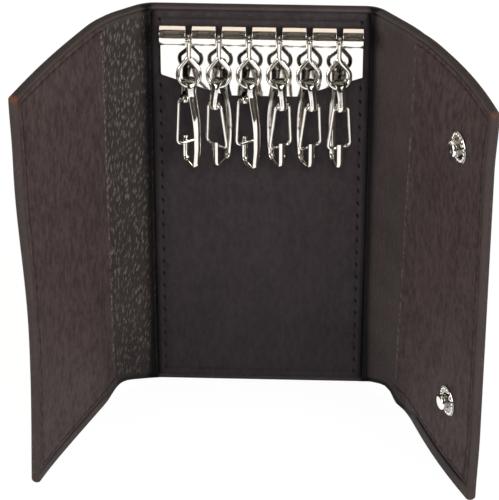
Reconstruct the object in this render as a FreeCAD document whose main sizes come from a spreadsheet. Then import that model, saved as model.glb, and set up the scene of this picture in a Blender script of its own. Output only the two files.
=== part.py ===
"""Tri-fold leather key case with a six-hook key rail, standing open on its lower edges.

X runs to the right and Y to the back, and Z is up. The origin is the middle of the back
panel's lower edge, in the middle of its thickness, where the fold axes also lie.
All lengths are millimetres and all angles are degrees.
"""

import FreeCAD
import Part
import Sketcher

import math
import os

Vector = FreeCAD.Vector
Placement = FreeCAD.Placement
Rotation = FreeCAD.Rotation

X_AXIS = Vector(1, 0, 0)
Z_AXIS = Vector(0, 0, 1)
LEFT = -1
RIGHT = 1

# Driving sizes: name, number and what it measures
SIZES = [
    ("case_height", 114.0, "height of every leather panel"),
    ("back_width", 57.4, "distance between the two fold axes of the back"),
    ("left_spine_length", 12.8, "distance between the fold axes of the left spine"),
    ("left_flap_length", 44.3, "fold axis to free edge of the left flap"),
    ("right_flap_length", 41.6, "fold axis to free edge of the right flap"),
    ("closing_gap", 2.0, "room between the closed flaps for the snaps"),
    ("cover_thickness", 1.0, "outer leather"),
    ("board_thickness", 0.6, "stiffener board inside each panel"),
    ("lining_thickness", 1.0, "inner leather"),
    ("edge_wall", 1.0, "outer leather turned over the top, bottom and free edges"),
    ("edge_bevel", 0.5, "bevel of a turned edge"),
    ("corner_radius", 2.0, "rounding of a flap's free corners"),
    ("fold_clearance", 0.15, "running gap in every leather fold"),
    ("left_spine_angle", 35.5, "left spine from the back panel's plane, case open"),
    ("left_flap_angle", 66.4, "left flap from the back panel's plane, case open"),
    ("right_spine_angle", 49.0, "right spine from the back panel's plane, case open"),
    ("right_flap_angle", 67.6, "right flap from the back panel's plane, case open"),
    ("rail_width", 51.0, "length of the key rail"),
    ("rail_offset", 0.3, "rail centre to the right of the case centre"),
    ("rail_sheet", 0.8, "sheet metal of the key rail"),
    ("curl_diameter", 5.4, "outside of the rolled upper edge of the rail"),
    ("curl_drop", 6.6, "case top to the centre of the roll"),
    ("curl_end_angle", 52.0, "where the roll stops below the level of its centre"),
    ("plate_side_drop", 12.5, "centre of the roll to the plate's side corners"),
    ("plate_foot_drop", 18.3, "centre of the roll to the plate's lower edge"),
    ("plate_foot_width", 18.0, "straight part of the plate's lower edge"),
    ("slot_width", 1.6, "slots for the hook eyes in the roll"),
    ("slot_foot", 2.0, "centre of the roll to the lower end of a slot in the plate"),
    ("hook_pitch", 7.5, "distance between neighbouring hooks"),
    ("hook_row_offset", 0.7, "row of hooks to the right of the rail centre"),
    ("prong_spacing", 34.0, "distance between the rail's two clinch prongs"),
    ("prong_width", 3.0, "clinch prong, along the rail"),
    ("prong_thickness", 0.6, "clinch prong where it passes through the lining"),
    ("prong_drop", 8.0, "centre of the roll to the prongs"),
    ("prong_tail", 3.5, "bent-over end of a prong"),
    ("prong_tail_thickness", 0.5, "bent-over end of a prong, flattened"),
    ("prong_clearance", 0.1, "gap round a prong"),
    ("rod_diameter", 0.9, "rod inside the roll"),
    ("rod_inset", 0.5, "rod end inside the end of the roll"),
    ("rod_clearance", 0.05, "rod above the floor of the roll"),
    ("eye_wire", 1.0, "wire of a hook eye, across its corners"),
    ("eye_length", 11.85, "rod centre to the lower wire of an eye"),
    ("eye_width", 5.5, "ring of an eye, between wire centres"),
    ("eye_neck", 4.4, "rod centre to where the two legs part"),
    ("eye_neck_bend", 1.6, "bend where a leg leaves the neck"),
    ("eye_shoulder_drop", 7.8, "rod centre to the shoulder of the ring"),
    ("eye_shoulder_bend", 2.2, "bend of the ring's shoulder"),
    ("eye_clearance", 0.1, "play of an eye on the rod"),
    ("eye_lean_angle", 14.0, "outward lean of a hanging eye"),
    ("strip_width", 1.5, "bent strip of a hook"),
    ("strip_thickness", 0.8, "bent strip of a hook"),
    ("hook_bore", 3.0, "inside of a hook's upper loop"),
    ("hook_drop", 22.55, "eye wire to the lowest bend of a hook"),
    ("belly_reach", 4.2, "eye wire back to the belly of a hook"),
    ("belly_start", 9.0, "eye wire down to where the belly begins"),
    ("belly_end", 17.4, "eye wire down to where the belly ends"),
    ("tip_reach", 1.9, "eye wire forward to a hook's tip"),
    ("tip_drop", 15.2, "eye wire down to the end of the tip"),
    ("hook_neck_bend", 3.0, "bends of a hook's strip, from the loop to the tip"),
    ("hook_back_bend", 12.0, ""),
    ("hook_belly_bend", 5.0, ""),
    ("hook_heel_bend", 2.2, ""),
    ("hook_toe_bend", 1.6, ""),
    ("knuckle_diameter", 2.3, "knuckle that holds the gate"),
    ("gate_pivot_drop", 4.5, "eye wire down to the gate's pivot"),
    ("gate_wire", 0.9, "wire of a gate, across its corners"),
    ("gate_bar_drop", 16.65, "eye wire down to the gate's lower bar"),
    ("gate_top_width", 3.9, "gate at its pivot, between wire centres"),
    ("gate_bar_width", 6.1, "gate at its lower bar, between wire centres"),
    ("gate_top_bend", 0.9, "upper bends of a gate"),
    ("gate_bar_bend", 1.3, "lower bends of a gate"),
    ("gate_pin_gap", 0.3, "distance between the gate's two inner ends"),
    ("gate_clearance", 0.1, "gap between gate and tip"),
    ("pivot_clearance", 0.08, "running gap of the gate's pivot"),
    ("hook_turn_1", -149.0, "turn of each hook about the vertical, left to right"),
    ("hook_turn_2", -32.0, ""),
    ("hook_turn_3", -149.0, ""),
    ("hook_turn_4", 30.0, ""),
    ("hook_turn_5", 30.0, ""),
    ("hook_turn_6", 20.0, ""),
    ("socket_inset", 13.4, "left flap's free edge to its sockets"),
    ("upper_snap_inset", 17.1, "case top to the upper snap"),
    ("lower_snap_inset", 21.7, "case bottom to the lower snap"),
    ("stud_flange_diameter", 8.1, "flange of a snap stud"),
    ("stud_flange_thickness", 0.5, "flange of a snap stud"),
    ("stud_neck_diameter", 3.7, "neck of a snap stud"),
    ("stud_head_diameter", 4.2, "head of a snap stud"),
    ("stud_height", 2.6, "snap stud above the leather"),
    ("stud_bore_diameter", 2.7, "hollow inside a stud"),
    ("post_diameter", 2.5, "post of a snap cap"),
    ("post_clearance", 0.1, "leather round a post or an eyelet"),
    ("cap_diameter", 10.0, "domed cap of a snap"),
    ("cap_height", 1.5, "domed cap of a snap"),
    ("cap_rim", 0.5, "straight rim of a snap cap"),
    ("socket_flange_diameter", 9.2, "flange of a snap socket"),
    ("socket_flange_thickness", 0.4, "flange of a snap socket"),
    ("socket_rim_diameter", 7.2, "raised rim of a snap socket"),
    ("socket_height", 1.3, "raised rim of a snap socket"),
    ("socket_play", 0.25, "play between a stud's head and the socket"),
    ("eyelet_wall", 0.35, "wall of a socket's eyelet"),
    ("eyelet_flange_diameter", 7.4, "clinched end of an eyelet"),
    ("eyelet_flange_thickness", 0.3, "clinched end of an eyelet"),
    ("eyelet_clearance", 0.05, "gap round an eyelet"),
]

HOOK_NUMBERS = range(1, 7)
HOOK_BENDS = ("neck", "back", "belly", "heel", "toe")
WIRE_SIDES = 8
TURN_SIDES = 20
KNUCKLE_SIDES = 12
BEND_STEP = math.radians(30)
ROLL_STEP = math.radians(20)
OVERCUT = 1.0

DOC = FreeCAD.newDocument("key_case")
SHEET = DOC.addObject("Spreadsheet::Sheet", "Sizes")
for row, (alias, number, meaning) in enumerate(SIZES, start=1):
    SHEET.set(f"A{row}", alias)
    SHEET.set(f"B{row}", str(number))
    SHEET.set(f"C{row}", meaning)
    SHEET.setAlias(f"B{row}", alias)
DOC.recompute()


class Dim:
    """A size with its number and the sheet formula that gives it."""

    def __init__(self, number, formula):
        self.number = number
        self.formula = formula

    def _join(self, other, sign, number):
        return Dim(number, f"({self.formula} {sign} {as_dim(other).formula})")

    def __add__(self, other):
        return self._join(other, "+", self.number + as_dim(other).number)

    def __sub__(self, other):
        return self._join(other, "-", self.number - as_dim(other).number)

    def __mul__(self, other):
        return self._join(other, "*", self.number * as_dim(other).number)

    def __truediv__(self, other):
        return self._join(other, "/", self.number / as_dim(other).number)

    def __neg__(self):
        return self * -1


def as_dim(value):
    """A plain number as a size, or a size as it is."""
    return value if isinstance(value, Dim) else Dim(float(value), f"({value})")


def dim(alias):
    """The sheet's size of that name."""
    return Dim(float(SHEET.get(alias)), f"Sizes.{alias}")


def bind(item, name, length):
    """Tie a property to its sheet formula."""
    item.setExpression(name, as_dim(length).formula)


# Sizes that follow from the driving ones
THICKNESS = dim("cover_thickness") + dim("board_thickness") + dim("lining_thickness")
HALF = THICKNESS / 2
INNER_FACE = -HALF
LINING_BACK = INNER_FACE + dim("lining_thickness")
BOARD_BACK = LINING_BACK + dim("board_thickness")
FOLD_GAP = HALF + dim("fold_clearance")
PANEL_FLOOR = dim("edge_wall")
PANEL_HEIGHT = dim("case_height") - dim("edge_wall") * 2
RIGHT_SPINE_LENGTH = dim("left_spine_length") + THICKNESS + dim("closing_gap")


def fold_frame(before, side, reach, angle):
    """Frame of a panel that starts at a fold axis, turned so many degrees from the back panel."""
    axis = before.multVec(Vector(side * reach.number, 0, 0))
    return Placement(axis, Rotation(Z_AXIS, -side * angle.number))


BACK_FRAME = Placement()
LEFT_SPINE_FRAME = fold_frame(BACK_FRAME, LEFT, dim("back_width") / 2, dim("left_spine_angle"))
LEFT_FLAP_FRAME = fold_frame(LEFT_SPINE_FRAME, LEFT, dim("left_spine_length"), dim("left_flap_angle"))
RIGHT_SPINE_FRAME = fold_frame(BACK_FRAME, RIGHT, dim("back_width") / 2, dim("right_spine_angle"))
RIGHT_FLAP_FRAME = fold_frame(RIGHT_SPINE_FRAME, RIGHT, RIGHT_SPINE_LENGTH, dim("right_flap_angle"))


def new_body(label):
    """An empty body under its own label."""
    body = DOC.addObject("PartDesign::Body", label)
    body.Label = label
    return body


def new_sketch(body, role, lift=0):
    """A sketch on one of the body's origin planes, lifted along the plane's normal."""
    sketch = body.newObject("Sketcher::SketchObject", f"{body.Label}_sketch")
    plane = next(item for item in body.Origin.OriginFeatures if item.Role == role)
    sketch.AttachmentSupport = [(plane, "")]
    sketch.MapMode = "FlatFace"
    bind(sketch, "AttachmentOffset.Base.z", lift)
    return sketch


def constrain(sketch, kind, geometry, point, length):
    """Hold a point at a distance from the sketch's origin, tied to the sheet."""
    item = sketch.addConstraint(Sketcher.Constraint(kind, -1, 1, geometry, point, length.number))
    bind(sketch, f"Constraints[{item}]", length)


def add_rectangle(sketch, left, low, right, high):
    """A rectangle whose four sides are tied to the sheet."""
    left, low, right, high = (as_dim(value) for value in (left, low, right, high))
    corners = [(left, low), (right, low), (right, high), (left, high)]
    points = [Vector(x.number, y.number, 0) for x, y in corners]
    first = sketch.GeometryCount
    for index in range(4):
        sketch.addGeometry(Part.LineSegment(points[index], points[(index + 1) % 4]), False)
    for index in range(4):
        after = first + (index + 1) % 4
        sketch.addConstraint(Sketcher.Constraint("Coincident", first + index, 2, after, 1))
        kind = "Horizontal" if index % 2 == 0 else "Vertical"
        sketch.addConstraint(Sketcher.Constraint(kind, first + index))
    for geometry, (x, y) in ((first, corners[0]), (first + 2, corners[2])):
        constrain(sketch, "DistanceX", geometry, 1, x)
        constrain(sketch, "DistanceY", geometry, 1, y)


def add_circle(sketch, x, y, diameter):
    """A circle whose place and diameter are tied to the sheet."""
    x, y = as_dim(x), as_dim(y)
    centre = Vector(x.number, y.number, 0)
    circle = sketch.addGeometry(Part.Circle(centre, Z_AXIS, diameter.number / 2), False)
    constrain(sketch, "DistanceX", circle, 3, x)
    constrain(sketch, "DistanceY", circle, 3, y)
    item = sketch.addConstraint(Sketcher.Constraint("Diameter", circle, diameter.number))
    bind(sketch, f"Constraints[{item}]", diameter)


def add_outline(sketch, points):
    """A closed outline of straight lines."""
    for start, end in zip(points, points[1:] + points[:1]):
        sketch.addGeometry(Part.LineSegment(Vector(*start, 0), Vector(*end, 0)), False)


def pad(body, sketch, length, symmetric=False, reverse=False):
    """Raise a sketch by a length."""
    feature = body.newObject("PartDesign::Pad", f"{body.Label}_pad")
    feature.Profile = sketch
    feature.SideType = "Symmetric" if symmetric else "One side"
    feature.Reversed = reverse
    bind(feature, "Length", length)
    return feature


def pocket(body, sketch, length, reverse=False, symmetric=False):
    """Cut a sketch out of the body, and make sure that it removes something."""
    DOC.recompute()
    before = body.Shape.Volume
    feature = body.newObject("PartDesign::Pocket", f"{body.Label}_pocket")
    feature.Profile = sketch
    feature.SideType = "Symmetric" if symmetric else "One side"
    feature.Reversed = reverse
    bind(feature, "Length", length)
    DOC.recompute()
    if not body.Shape.Volume < before:
        raise ValueError(f"a pocket of {body.Label} cuts nothing")
    return feature


def dress_edges(body, base, kind, value, length, wanted):
    """Round or bevel the edges of a feature that a test picks."""
    DOC.recompute()
    names = [f"Edge{n}" for n, edge in enumerate(base.Shape.Edges, start=1) if wanted(edge)]
    feature = body.newObject(f"PartDesign::{kind}", f"{body.Label}_{kind.lower()}")
    feature.Base = (base, names)
    bind(feature, value, length)
    return feature


def around(radius, height, angle):
    """A point at a radius and a height, turned about the Z axis."""
    return Vector(radius * math.cos(angle), radius * math.sin(angle), height)


def turned(label, outline):
    """A turned piece from radius and height points, with its round faces as narrow flats."""
    angles = [2 * math.pi * index / TURN_SIDES for index in range(TURN_SIDES)]
    faces = []
    for low, high in zip(outline, outline[1:] + outline[:1]):
        for angle, onward in zip(angles, angles[1:] + angles[:1]):
            corners = [around(*low, angle)]
            for corner in (around(*high, angle), around(*high, onward), around(*low, onward)):
                if all(corner.distanceToPoint(other) > 1e-6 for other in corners):
                    corners.append(corner)
            if len(corners) > 2:
                faces.append(Part.Face(Part.makePolygon(corners + corners[:1])))
    piece = DOC.addObject("Part::Feature", label)
    piece.Label = label
    piece.Shape = Part.Solid(Part.Shell(faces)).removeSplitter()
    return piece


def arc_points(centre, first, across, turn):
    """Points along an arc that starts at one radius vector and turns towards another."""
    count = max(1, math.ceil(turn / BEND_STEP - 1e-6))
    steps = [turn * index / count for index in range(count + 1)]
    return [centre + first * math.cos(step) + across * math.sin(step) for step in steps]


def bent_line(points, bends):
    """Straight runs through the points, with a bend of the given radius at each inner one."""
    line = [points[0]]
    for before, corner, after, bend in zip(points, points[1:], points[2:], bends):
        back = (before - corner).normalize()
        onward = (after - corner).normalize()
        half = back.getAngle(onward) / 2
        middle = (back + onward).normalize()
        centre = corner + middle * (bend / math.sin(half))
        first = corner + back * (bend / math.tan(half)) - centre
        line += arc_points(centre, first, back * -bend, math.pi - 2 * half)
    return line + [points[-1]]


def beside(points, distance):
    """A flat line that runs beside another one, to the left of it for a positive distance."""
    shifted = []
    for index, point in enumerate(points):
        runs = [run for run in (index - 1, index) if 0 <= run < len(points) - 1]
        ways = [(points[run + 1] - points[run]).normalize() for run in runs]
        normals = [Vector(-way.y, way.x, 0) for way in ways]
        middle = (normals[0] + normals[-1]).normalize()
        shifted.append(point + middle * (distance / middle.dot(normals[0])))
    return shifted


def polygon_points(centre_x, centre_y, diameter, sides):
    """Corners of a regular polygon, given its size across the corners."""
    steps = [2 * math.pi * (index + 0.5) / sides for index in range(sides)]
    radius = diameter / 2
    return [(centre_x + radius * math.cos(a), centre_y + radius * math.sin(a)) for a in steps]


def at_level(edge, height):
    """Whether an edge lies in the horizontal plane at that height."""
    return all(abs(vertex.Z - height) < 1e-6 for vertex in edge.Vertexes)


def crosses_panel(edge):
    """Whether a straight edge runs through the thickness of a panel."""
    start, end = edge.Vertexes[0].Point, edge.Vertexes[-1].Point
    straight = abs(edge.Length - (end - start).Length) < 1e-6
    return straight and abs(abs(end.y - start.y) - THICKNESS.number) < 1e-6


# Leather panels


def stadium(sketch, side, length):
    """Section of a spine: a flat strip whose long edges are round about the fold axes."""
    low = INNER_FACE.number
    high = HALF.number
    near = 0.0
    far = side * length.number
    cap = -side * high
    sketch.addGeometry(Part.LineSegment(Vector(near, low, 0), Vector(far, low, 0)), False)
    sketch.addGeometry(Part.Arc(Vector(far, low, 0), Vector(far - cap, 0, 0), Vector(far, high, 0)), False)
    sketch.addGeometry(Part.LineSegment(Vector(far, high, 0), Vector(near, high, 0)), False)
    sketch.addGeometry(Part.Arc(Vector(near, high, 0), Vector(cap, 0, 0), Vector(near, low, 0)), False)


def make_cover(label, frame, low_x, high_x, free_side=0, spine_side=0, spine_length=None):
    """Outer leather: a sheet with its edges turned inwards round the board and the lining."""
    body = new_body(label)
    outline = new_sketch(body, "XY_Plane")
    if spine_side:
        stadium(outline, spine_side, spine_length)
    else:
        add_rectangle(outline, low_x, INNER_FACE, high_x, HALF)
    solid = pad(body, outline, dim("case_height"))
    top = dim("case_height").number
    edge_x = high_x.number if free_side > 0 else low_x.number
    if free_side:

        def free_corner(edge):
            on_edge = all(abs(vertex.X - edge_x) < 1e-6 for vertex in edge.Vertexes)
            return on_edge and crosses_panel(edge)

        solid = dress_edges(body, solid, "Fillet", "Radius", dim("corner_radius"), free_corner)

    def turned_edge(edge):
        return (at_level(edge, 0) or at_level(edge, top)) and not crosses_panel(edge)

    dress_edges(body, solid, "Chamfer", "Size", dim("edge_bevel"), turned_edge)
    recess = new_sketch(body, "XY_Plane", PANEL_FLOOR)
    inner_low = low_x + dim("edge_wall") if free_side < 0 else low_x - OVERCUT
    inner_high = high_x - dim("edge_wall") if free_side > 0 else high_x + OVERCUT
    add_rectangle(recess, inner_low, INNER_FACE - OVERCUT, inner_high, BOARD_BACK)
    pocket(body, recess, PANEL_HEIGHT, reverse=True)
    body.Placement = frame
    return body


def make_sheet(label, frame, low_x, high_x, low_y, high_y):
    """A flat board or lining inside a panel's turned edges."""
    body = new_body(label)
    outline = new_sketch(body, "XY_Plane", PANEL_FLOOR)
    add_rectangle(outline, low_x, low_y, high_x, high_y)
    pad(body, outline, PANEL_HEIGHT)
    body.Placement = frame
    return body


def span(side, near, far):
    """Lowest and highest X of a piece that runs from near to far on one side of a fold axis."""
    return (near, far) if side > 0 else (-far, -near)


def make_spine(name, frame, side, length):
    """Cover, board and lining of a spine, round at both long edges."""
    low_x, high_x = span(side, -(HALF + OVERCUT), length + HALF + OVERCUT)
    make_cover(f"{name}_cover", frame, low_x, high_x, spine_side=side, spine_length=length)
    make_sheet(f"{name}_board", frame, *span(side, as_dim(0), length), LINING_BACK, BOARD_BACK)
    lining = new_body(f"{name}_lining")
    outline = new_sketch(lining, "XY_Plane", PANEL_FLOOR)
    stadium(outline, side, length)
    pad(lining, outline, PANEL_HEIGHT)
    outer = new_sketch(lining, "XY_Plane", PANEL_FLOOR)
    add_rectangle(outer, low_x, LINING_BACK, high_x, HALF + OVERCUT)
    pocket(lining, outer, PANEL_HEIGHT, reverse=True)
    lining.Placement = frame


def make_flap(name, frame, side, length):
    """Cover, board and lining of a flap, with turned edges on its three free sides."""
    cover = make_cover(f"{name}_cover", frame, *span(side, FOLD_GAP, length), free_side=side)
    inside = span(side, FOLD_GAP, length - dim("edge_wall"))
    board = make_sheet(f"{name}_board", frame, *inside, LINING_BACK, BOARD_BACK)
    lining = make_sheet(f"{name}_lining", frame, *inside, INNER_FACE, LINING_BACK)
    return cover, board, lining


def punch(body, places, diameter):
    """Round holes through a panel, at distances along it and heights."""
    sketch = new_sketch(body, "XZ_Plane")
    for x, z in places:
        add_circle(sketch, x, z, diameter)
    pocket(body, sketch, THICKNESS * 2, symmetric=True)


BACK_HALF = dim("back_width") / 2 - FOLD_GAP
make_cover("back_cover", BACK_FRAME, -BACK_HALF, BACK_HALF)
BACK_BOARD = make_sheet("back_board", BACK_FRAME, -BACK_HALF, BACK_HALF, LINING_BACK, BOARD_BACK)
CENTRE_PANEL = make_sheet("centre_panel", BACK_FRAME, -BACK_HALF, BACK_HALF, INNER_FACE, LINING_BACK)

make_spine("left_spine", LEFT_SPINE_FRAME, LEFT, dim("left_spine_length"))
make_spine("right_spine", RIGHT_SPINE_FRAME, RIGHT, RIGHT_SPINE_LENGTH)
LEFT_FLAP = make_flap("left_flap", LEFT_FLAP_FRAME, LEFT, dim("left_flap_length"))
RIGHT_FLAP = make_flap("right_flap", RIGHT_FLAP_FRAME, RIGHT, dim("right_flap_length"))

# Snap fasteners: studs with caps on the right flap, sockets with eyelets on the left flap

LEFT_SNAP_X = dim("socket_inset") - dim("left_flap_length")
RIGHT_SNAP_X = dim("back_width") + LEFT_SNAP_X
SNAP_HEIGHTS = {"upper": dim("case_height") - dim("upper_snap_inset"), "lower": dim("lower_snap_inset")}
LEFT_SNAPS = [(LEFT_SNAP_X, height) for height in SNAP_HEIGHTS.values()]
RIGHT_SNAPS = [(RIGHT_SNAP_X, height) for height in SNAP_HEIGHTS.values()]

POST_HOLE = dim("post_diameter") + dim("post_clearance") * 2
for panel in RIGHT_FLAP:
    punch(panel, RIGHT_SNAPS, POST_HOLE)

EYELET_BORE = dim("stud_head_diameter") + dim("socket_play") * 2
EYELET_OUTSIDE = EYELET_BORE + dim("eyelet_wall") * 2
EYELET_HOLE = EYELET_OUTSIDE + dim("post_clearance") * 2
LEFT_COVER, LEFT_BOARD, LEFT_LINING = LEFT_FLAP
for panel in (LEFT_COVER, LEFT_BOARD):
    punch(panel, LEFT_SNAPS, EYELET_HOLE)

CLINCH_ROOM = dim("eyelet_flange_thickness") + dim("eyelet_clearance")
clinch = new_sketch(LEFT_LINING, "XZ_Plane", -LINING_BACK)
for snap_x, snap_z in LEFT_SNAPS:
    add_circle(clinch, snap_x, snap_z, dim("eyelet_flange_diameter") + dim("post_clearance") * 2)
pocket(LEFT_LINING, clinch, CLINCH_ROOM, reverse=True)


def snap_frame(flap, x, face, height, outward):
    """Frame of a snap piece on a flap: its Z axis leaves the inner or the outer face."""
    place = Vector(x.number, face.number, height.number)
    return flap * Placement(place, Rotation(X_AXIS, -90 if outward else 90))


def stud_outline():
    """Radius and height points of a stud: flange, hollow neck and bulbous head."""
    flange = dim("stud_flange_diameter").number / 2
    flange_top = dim("stud_flange_thickness").number
    neck = dim("stud_neck_diameter").number / 2
    head = dim("stud_head_diameter").number / 2
    top = dim("stud_height").number
    bore = dim("stud_bore_diameter").number / 2
    head_high = top - (head - bore) / 2
    head_low = head_high - (head - bore) / 2
    cavity = POST_END.number - THICKNESS.number
    return [
        (bore, 0), (flange, 0), (flange, flange_top), (neck, flange_top), (neck, head_low - (head - neck)),
        (head, head_low), (head, head_high), (bore, top), (0, top), (0, cavity), (bore, cavity),
    ]


def cap_outline():
    """Radius and height points of a cap: a dome outside and a post through the leather."""
    radius = dim("cap_diameter").number / 2
    rim = dim("cap_rim").number
    top = dim("cap_height").number
    post = dim("post_diameter").number / 2
    end = -POST_END.number
    return [(0, end), (post, end), (post, 0), (radius, 0), (radius, rim), (radius * 0.6, top), (0, top)]


def socket_outline():
    """Radius and height points of a socket: a flange with a raised rim."""
    inside = EYELET_OUTSIDE.number / 2 + dim("eyelet_clearance").number
    flange = dim("socket_flange_diameter").number / 2
    flange_top = dim("socket_flange_thickness").number
    rim = dim("socket_rim_diameter").number / 2
    top = dim("socket_height").number - dim("eyelet_flange_thickness").number
    return [(inside, 0), (flange, 0), (flange, flange_top), (rim, flange_top), (rim, top), (inside, top)]


def eyelet_outline():
    """Radius and height points of an eyelet: rolled over the socket and clinched behind the board."""
    inside = EYELET_BORE.number / 2
    outside = EYELET_OUTSIDE.number / 2
    top = dim("socket_height").number
    lip = top - dim("eyelet_flange_thickness").number
    roll = dim("socket_rim_diameter").number / 2 - dim("eyelet_wall").number
    seat = -(dim("cover_thickness") + dim("board_thickness")).number
    end = seat - dim("eyelet_flange_thickness").number
    flange = dim("eyelet_flange_diameter").number / 2
    return [
        (inside, end), (flange, end), (flange, seat), (outside, seat),
        (outside, lip), (roll, lip), (roll, top), (inside, top),
    ]


POST_END = THICKNESS + dim("stud_height") - dim("stud_flange_thickness") - dim("post_clearance") * 2
for level, height in SNAP_HEIGHTS.items():
    stud = turned(f"{level}_snap_stud", stud_outline())
    stud.Placement = snap_frame(RIGHT_FLAP_FRAME, RIGHT_SNAP_X, INNER_FACE, height, outward=False)
    cap = turned(f"{level}_snap_cap", cap_outline())
    cap.Placement = snap_frame(RIGHT_FLAP_FRAME, RIGHT_SNAP_X, HALF, height, outward=True)
    socket = turned(f"{level}_snap_socket", socket_outline())
    socket.Placement = snap_frame(LEFT_FLAP_FRAME, LEFT_SNAP_X, HALF, height, outward=True)
    eyelet = turned(f"{level}_snap_eyelet", eyelet_outline())
    eyelet.Placement = snap_frame(LEFT_FLAP_FRAME, LEFT_SNAP_X, HALF, height, outward=True)

# Key rail: a plate with a rolled upper edge, clinched through the centre panel, and its rod

RAIL_X = dim("rail_offset")
CURL_RADIUS = dim("curl_diameter") / 2
CURL_BORE = CURL_RADIUS - dim("rail_sheet")
CURL_Y = INNER_FACE - CURL_RADIUS
CURL_Z = dim("case_height") - dim("curl_drop")
PLATE_FRONT = INNER_FACE - dim("rail_sheet")
ROD_Z = CURL_Z - CURL_BORE + dim("rod_diameter") / 2 + dim("rod_clearance")
PRONG_Z = CURL_Z - dim("prong_drop")
PRONG_X = [RAIL_X - dim("prong_spacing") / 2, RAIL_X + dim("prong_spacing") / 2]


def hook_x(number):
    """Place of a hook along the rail."""
    middle = (HOOK_NUMBERS[0] + HOOK_NUMBERS[-1]) / 2
    return RAIL_X + dim("hook_row_offset") + dim("hook_pitch") * (number - middle)


def add_prong_rectangles(sketch, width, low, high):
    """One rectangle for each clinch prong, seen from the front."""
    for x in PRONG_X:
        add_rectangle(sketch, x - width / 2, low, x + width / 2, high)


def make_rail_plate():
    """Plate with shaped lower edge, rolled upper edge, six slots and two clinch prongs."""
    body = new_body("rail_plate")
    outline = new_sketch(body, "XZ_Plane", -INNER_FACE)
    half = dim("rail_width").number / 2
    foot = dim("plate_foot_width").number / 2
    centre = RAIL_X.number
    top = CURL_Z.number
    side = top - dim("plate_side_drop").number
    low = top - dim("plate_foot_drop").number
    add_outline(outline, [
        (centre - half, top), (centre - half, side), (centre - foot, low),
        (centre + foot, low), (centre + half, side), (centre + half, top),
    ])
    pad(body, outline, dim("rail_sheet"))

    roll = new_sketch(body, "YZ_Plane", RAIL_X)
    turn = 2 * math.pi - math.radians(dim("curl_end_angle").number)
    count = math.ceil(turn / ROLL_STEP)
    angles = [turn * index / count for index in range(count + 1)]
    outer, inner = CURL_RADIUS.number, CURL_BORE.number
    section = [(outer, angle) for angle in angles] + [(inner, angle) for angle in reversed(angles)]
    middle = CURL_Y.number
    add_outline(roll, [(middle + r * math.cos(angle), top + r * math.sin(angle)) for r, angle in section])
    pad(body, roll, dim("rail_width"), symmetric=True)

    slots = new_sketch(body, "XZ_Plane", -PLATE_FRONT)
    feet = new_sketch(body, "XZ_Plane", -INNER_FACE)
    half_slot = dim("slot_width") / 2
    low_z = CURL_Z - CURL_RADIUS - OVERCUT
    high_z = CURL_Z + CURL_RADIUS + OVERCUT
    for number in HOOK_NUMBERS:
        x = hook_x(number)
        add_rectangle(slots, x - half_slot, low_z, x + half_slot, high_z)
        add_rectangle(feet, x - half_slot, CURL_Z - dim("slot_foot"), x + half_slot, high_z)
    for cut in (slots, feet):
        pocket(body, cut, dim("curl_diameter"), reverse=True)

    stems = new_sketch(body, "XZ_Plane", -INNER_FACE)
    stem_top = PRONG_Z + dim("prong_thickness")
    add_prong_rectangles(stems, dim("prong_width"), PRONG_Z, stem_top)
    pad(body, stems, dim("lining_thickness") + dim("prong_tail_thickness"), reverse=True)
    tails = new_sketch(body, "XZ_Plane", -LINING_BACK)
    add_prong_rectangles(tails, dim("prong_width"), stem_top - dim("prong_tail"), stem_top)
    pad(body, tails, dim("prong_tail_thickness"), reverse=True)
    return body


def slot_for_prongs(body, low):
    """Slots through the centre panel or the board for the clinch prongs."""
    room = dim("prong_clearance")
    sketch = new_sketch(body, "XZ_Plane")
    top = PRONG_Z + dim("prong_thickness") + room
    add_prong_rectangles(sketch, dim("prong_width") + room * 2, low - room, top)
    pocket(body, sketch, THICKNESS * 2, symmetric=True)


make_rail_plate()
slot_for_prongs(CENTRE_PANEL, PRONG_Z)
slot_for_prongs(BACK_BOARD, PRONG_Z + dim("prong_thickness") - dim("prong_tail"))

rod = DOC.addObject("Part::Cylinder", "rail_rod")
rod.Label = "rail_rod"
bind(rod, "Radius", dim("rod_diameter") / 2)
ROD_LENGTH = dim("rail_width") - dim("rod_inset") * 2
bind(rod, "Height", ROD_LENGTH)
ROD_START = Vector((RAIL_X - ROD_LENGTH / 2).number, CURL_Y.number, ROD_Z.number)
rod.Placement = Placement(ROD_START, Rotation(Vector(0, 1, 0), 90))

# Hook eyes, hooks and gates


def eye_shape():
    """A twisted wire link: a loop over the rod in one plane and a ring in the plane across it."""
    wire = dim("eye_wire").number
    loop = (dim("rod_diameter") / 2 + dim("eye_wire") / 2 + dim("eye_clearance")).number
    neck_y = -(wire + dim("eye_clearance").number) / 2
    neck = Vector(0, neck_y, -dim("eye_neck").number)
    ring = dim("eye_width").number / 2
    low = -dim("eye_length").number
    lean = math.atan2(-neck_y, -neck.z) + math.acos(loop / neck.Length)
    leaves = Vector(0, -loop * math.sin(lean), -loop * math.cos(lean))
    crown = arc_points(Vector(), Vector(0, 0, loop), Vector(0, -loop, 0), math.pi - lean)
    ring_start = Vector(ring, 0, low + ring)
    shoulder = Vector(ring, 0, -dim("eye_shoulder_drop").number)
    bends = [dim("eye_neck_bend").number, dim("eye_shoulder_bend").number]
    leg = bent_line([leaves, neck, shoulder, ring_start], bends)
    quarter = arc_points(Vector(0, 0, low + ring), Vector(ring, 0, 0), Vector(0, 0, -ring), math.pi / 2)
    path = Part.makePolygon(crown + leg[1:] + quarter[1:])
    corners = [Vector(x, 0, z) for x, z in polygon_points(0, loop, wire, WIRE_SIDES)]
    section = Part.makePolygon(corners + corners[:1])
    mitred = 1
    half = path.makePipeShell([section], True, False, mitred)
    other = half.copy()
    other.rotate(Vector(), Z_AXIS, 180)
    return half.fuse(other).Solids[0]


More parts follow.
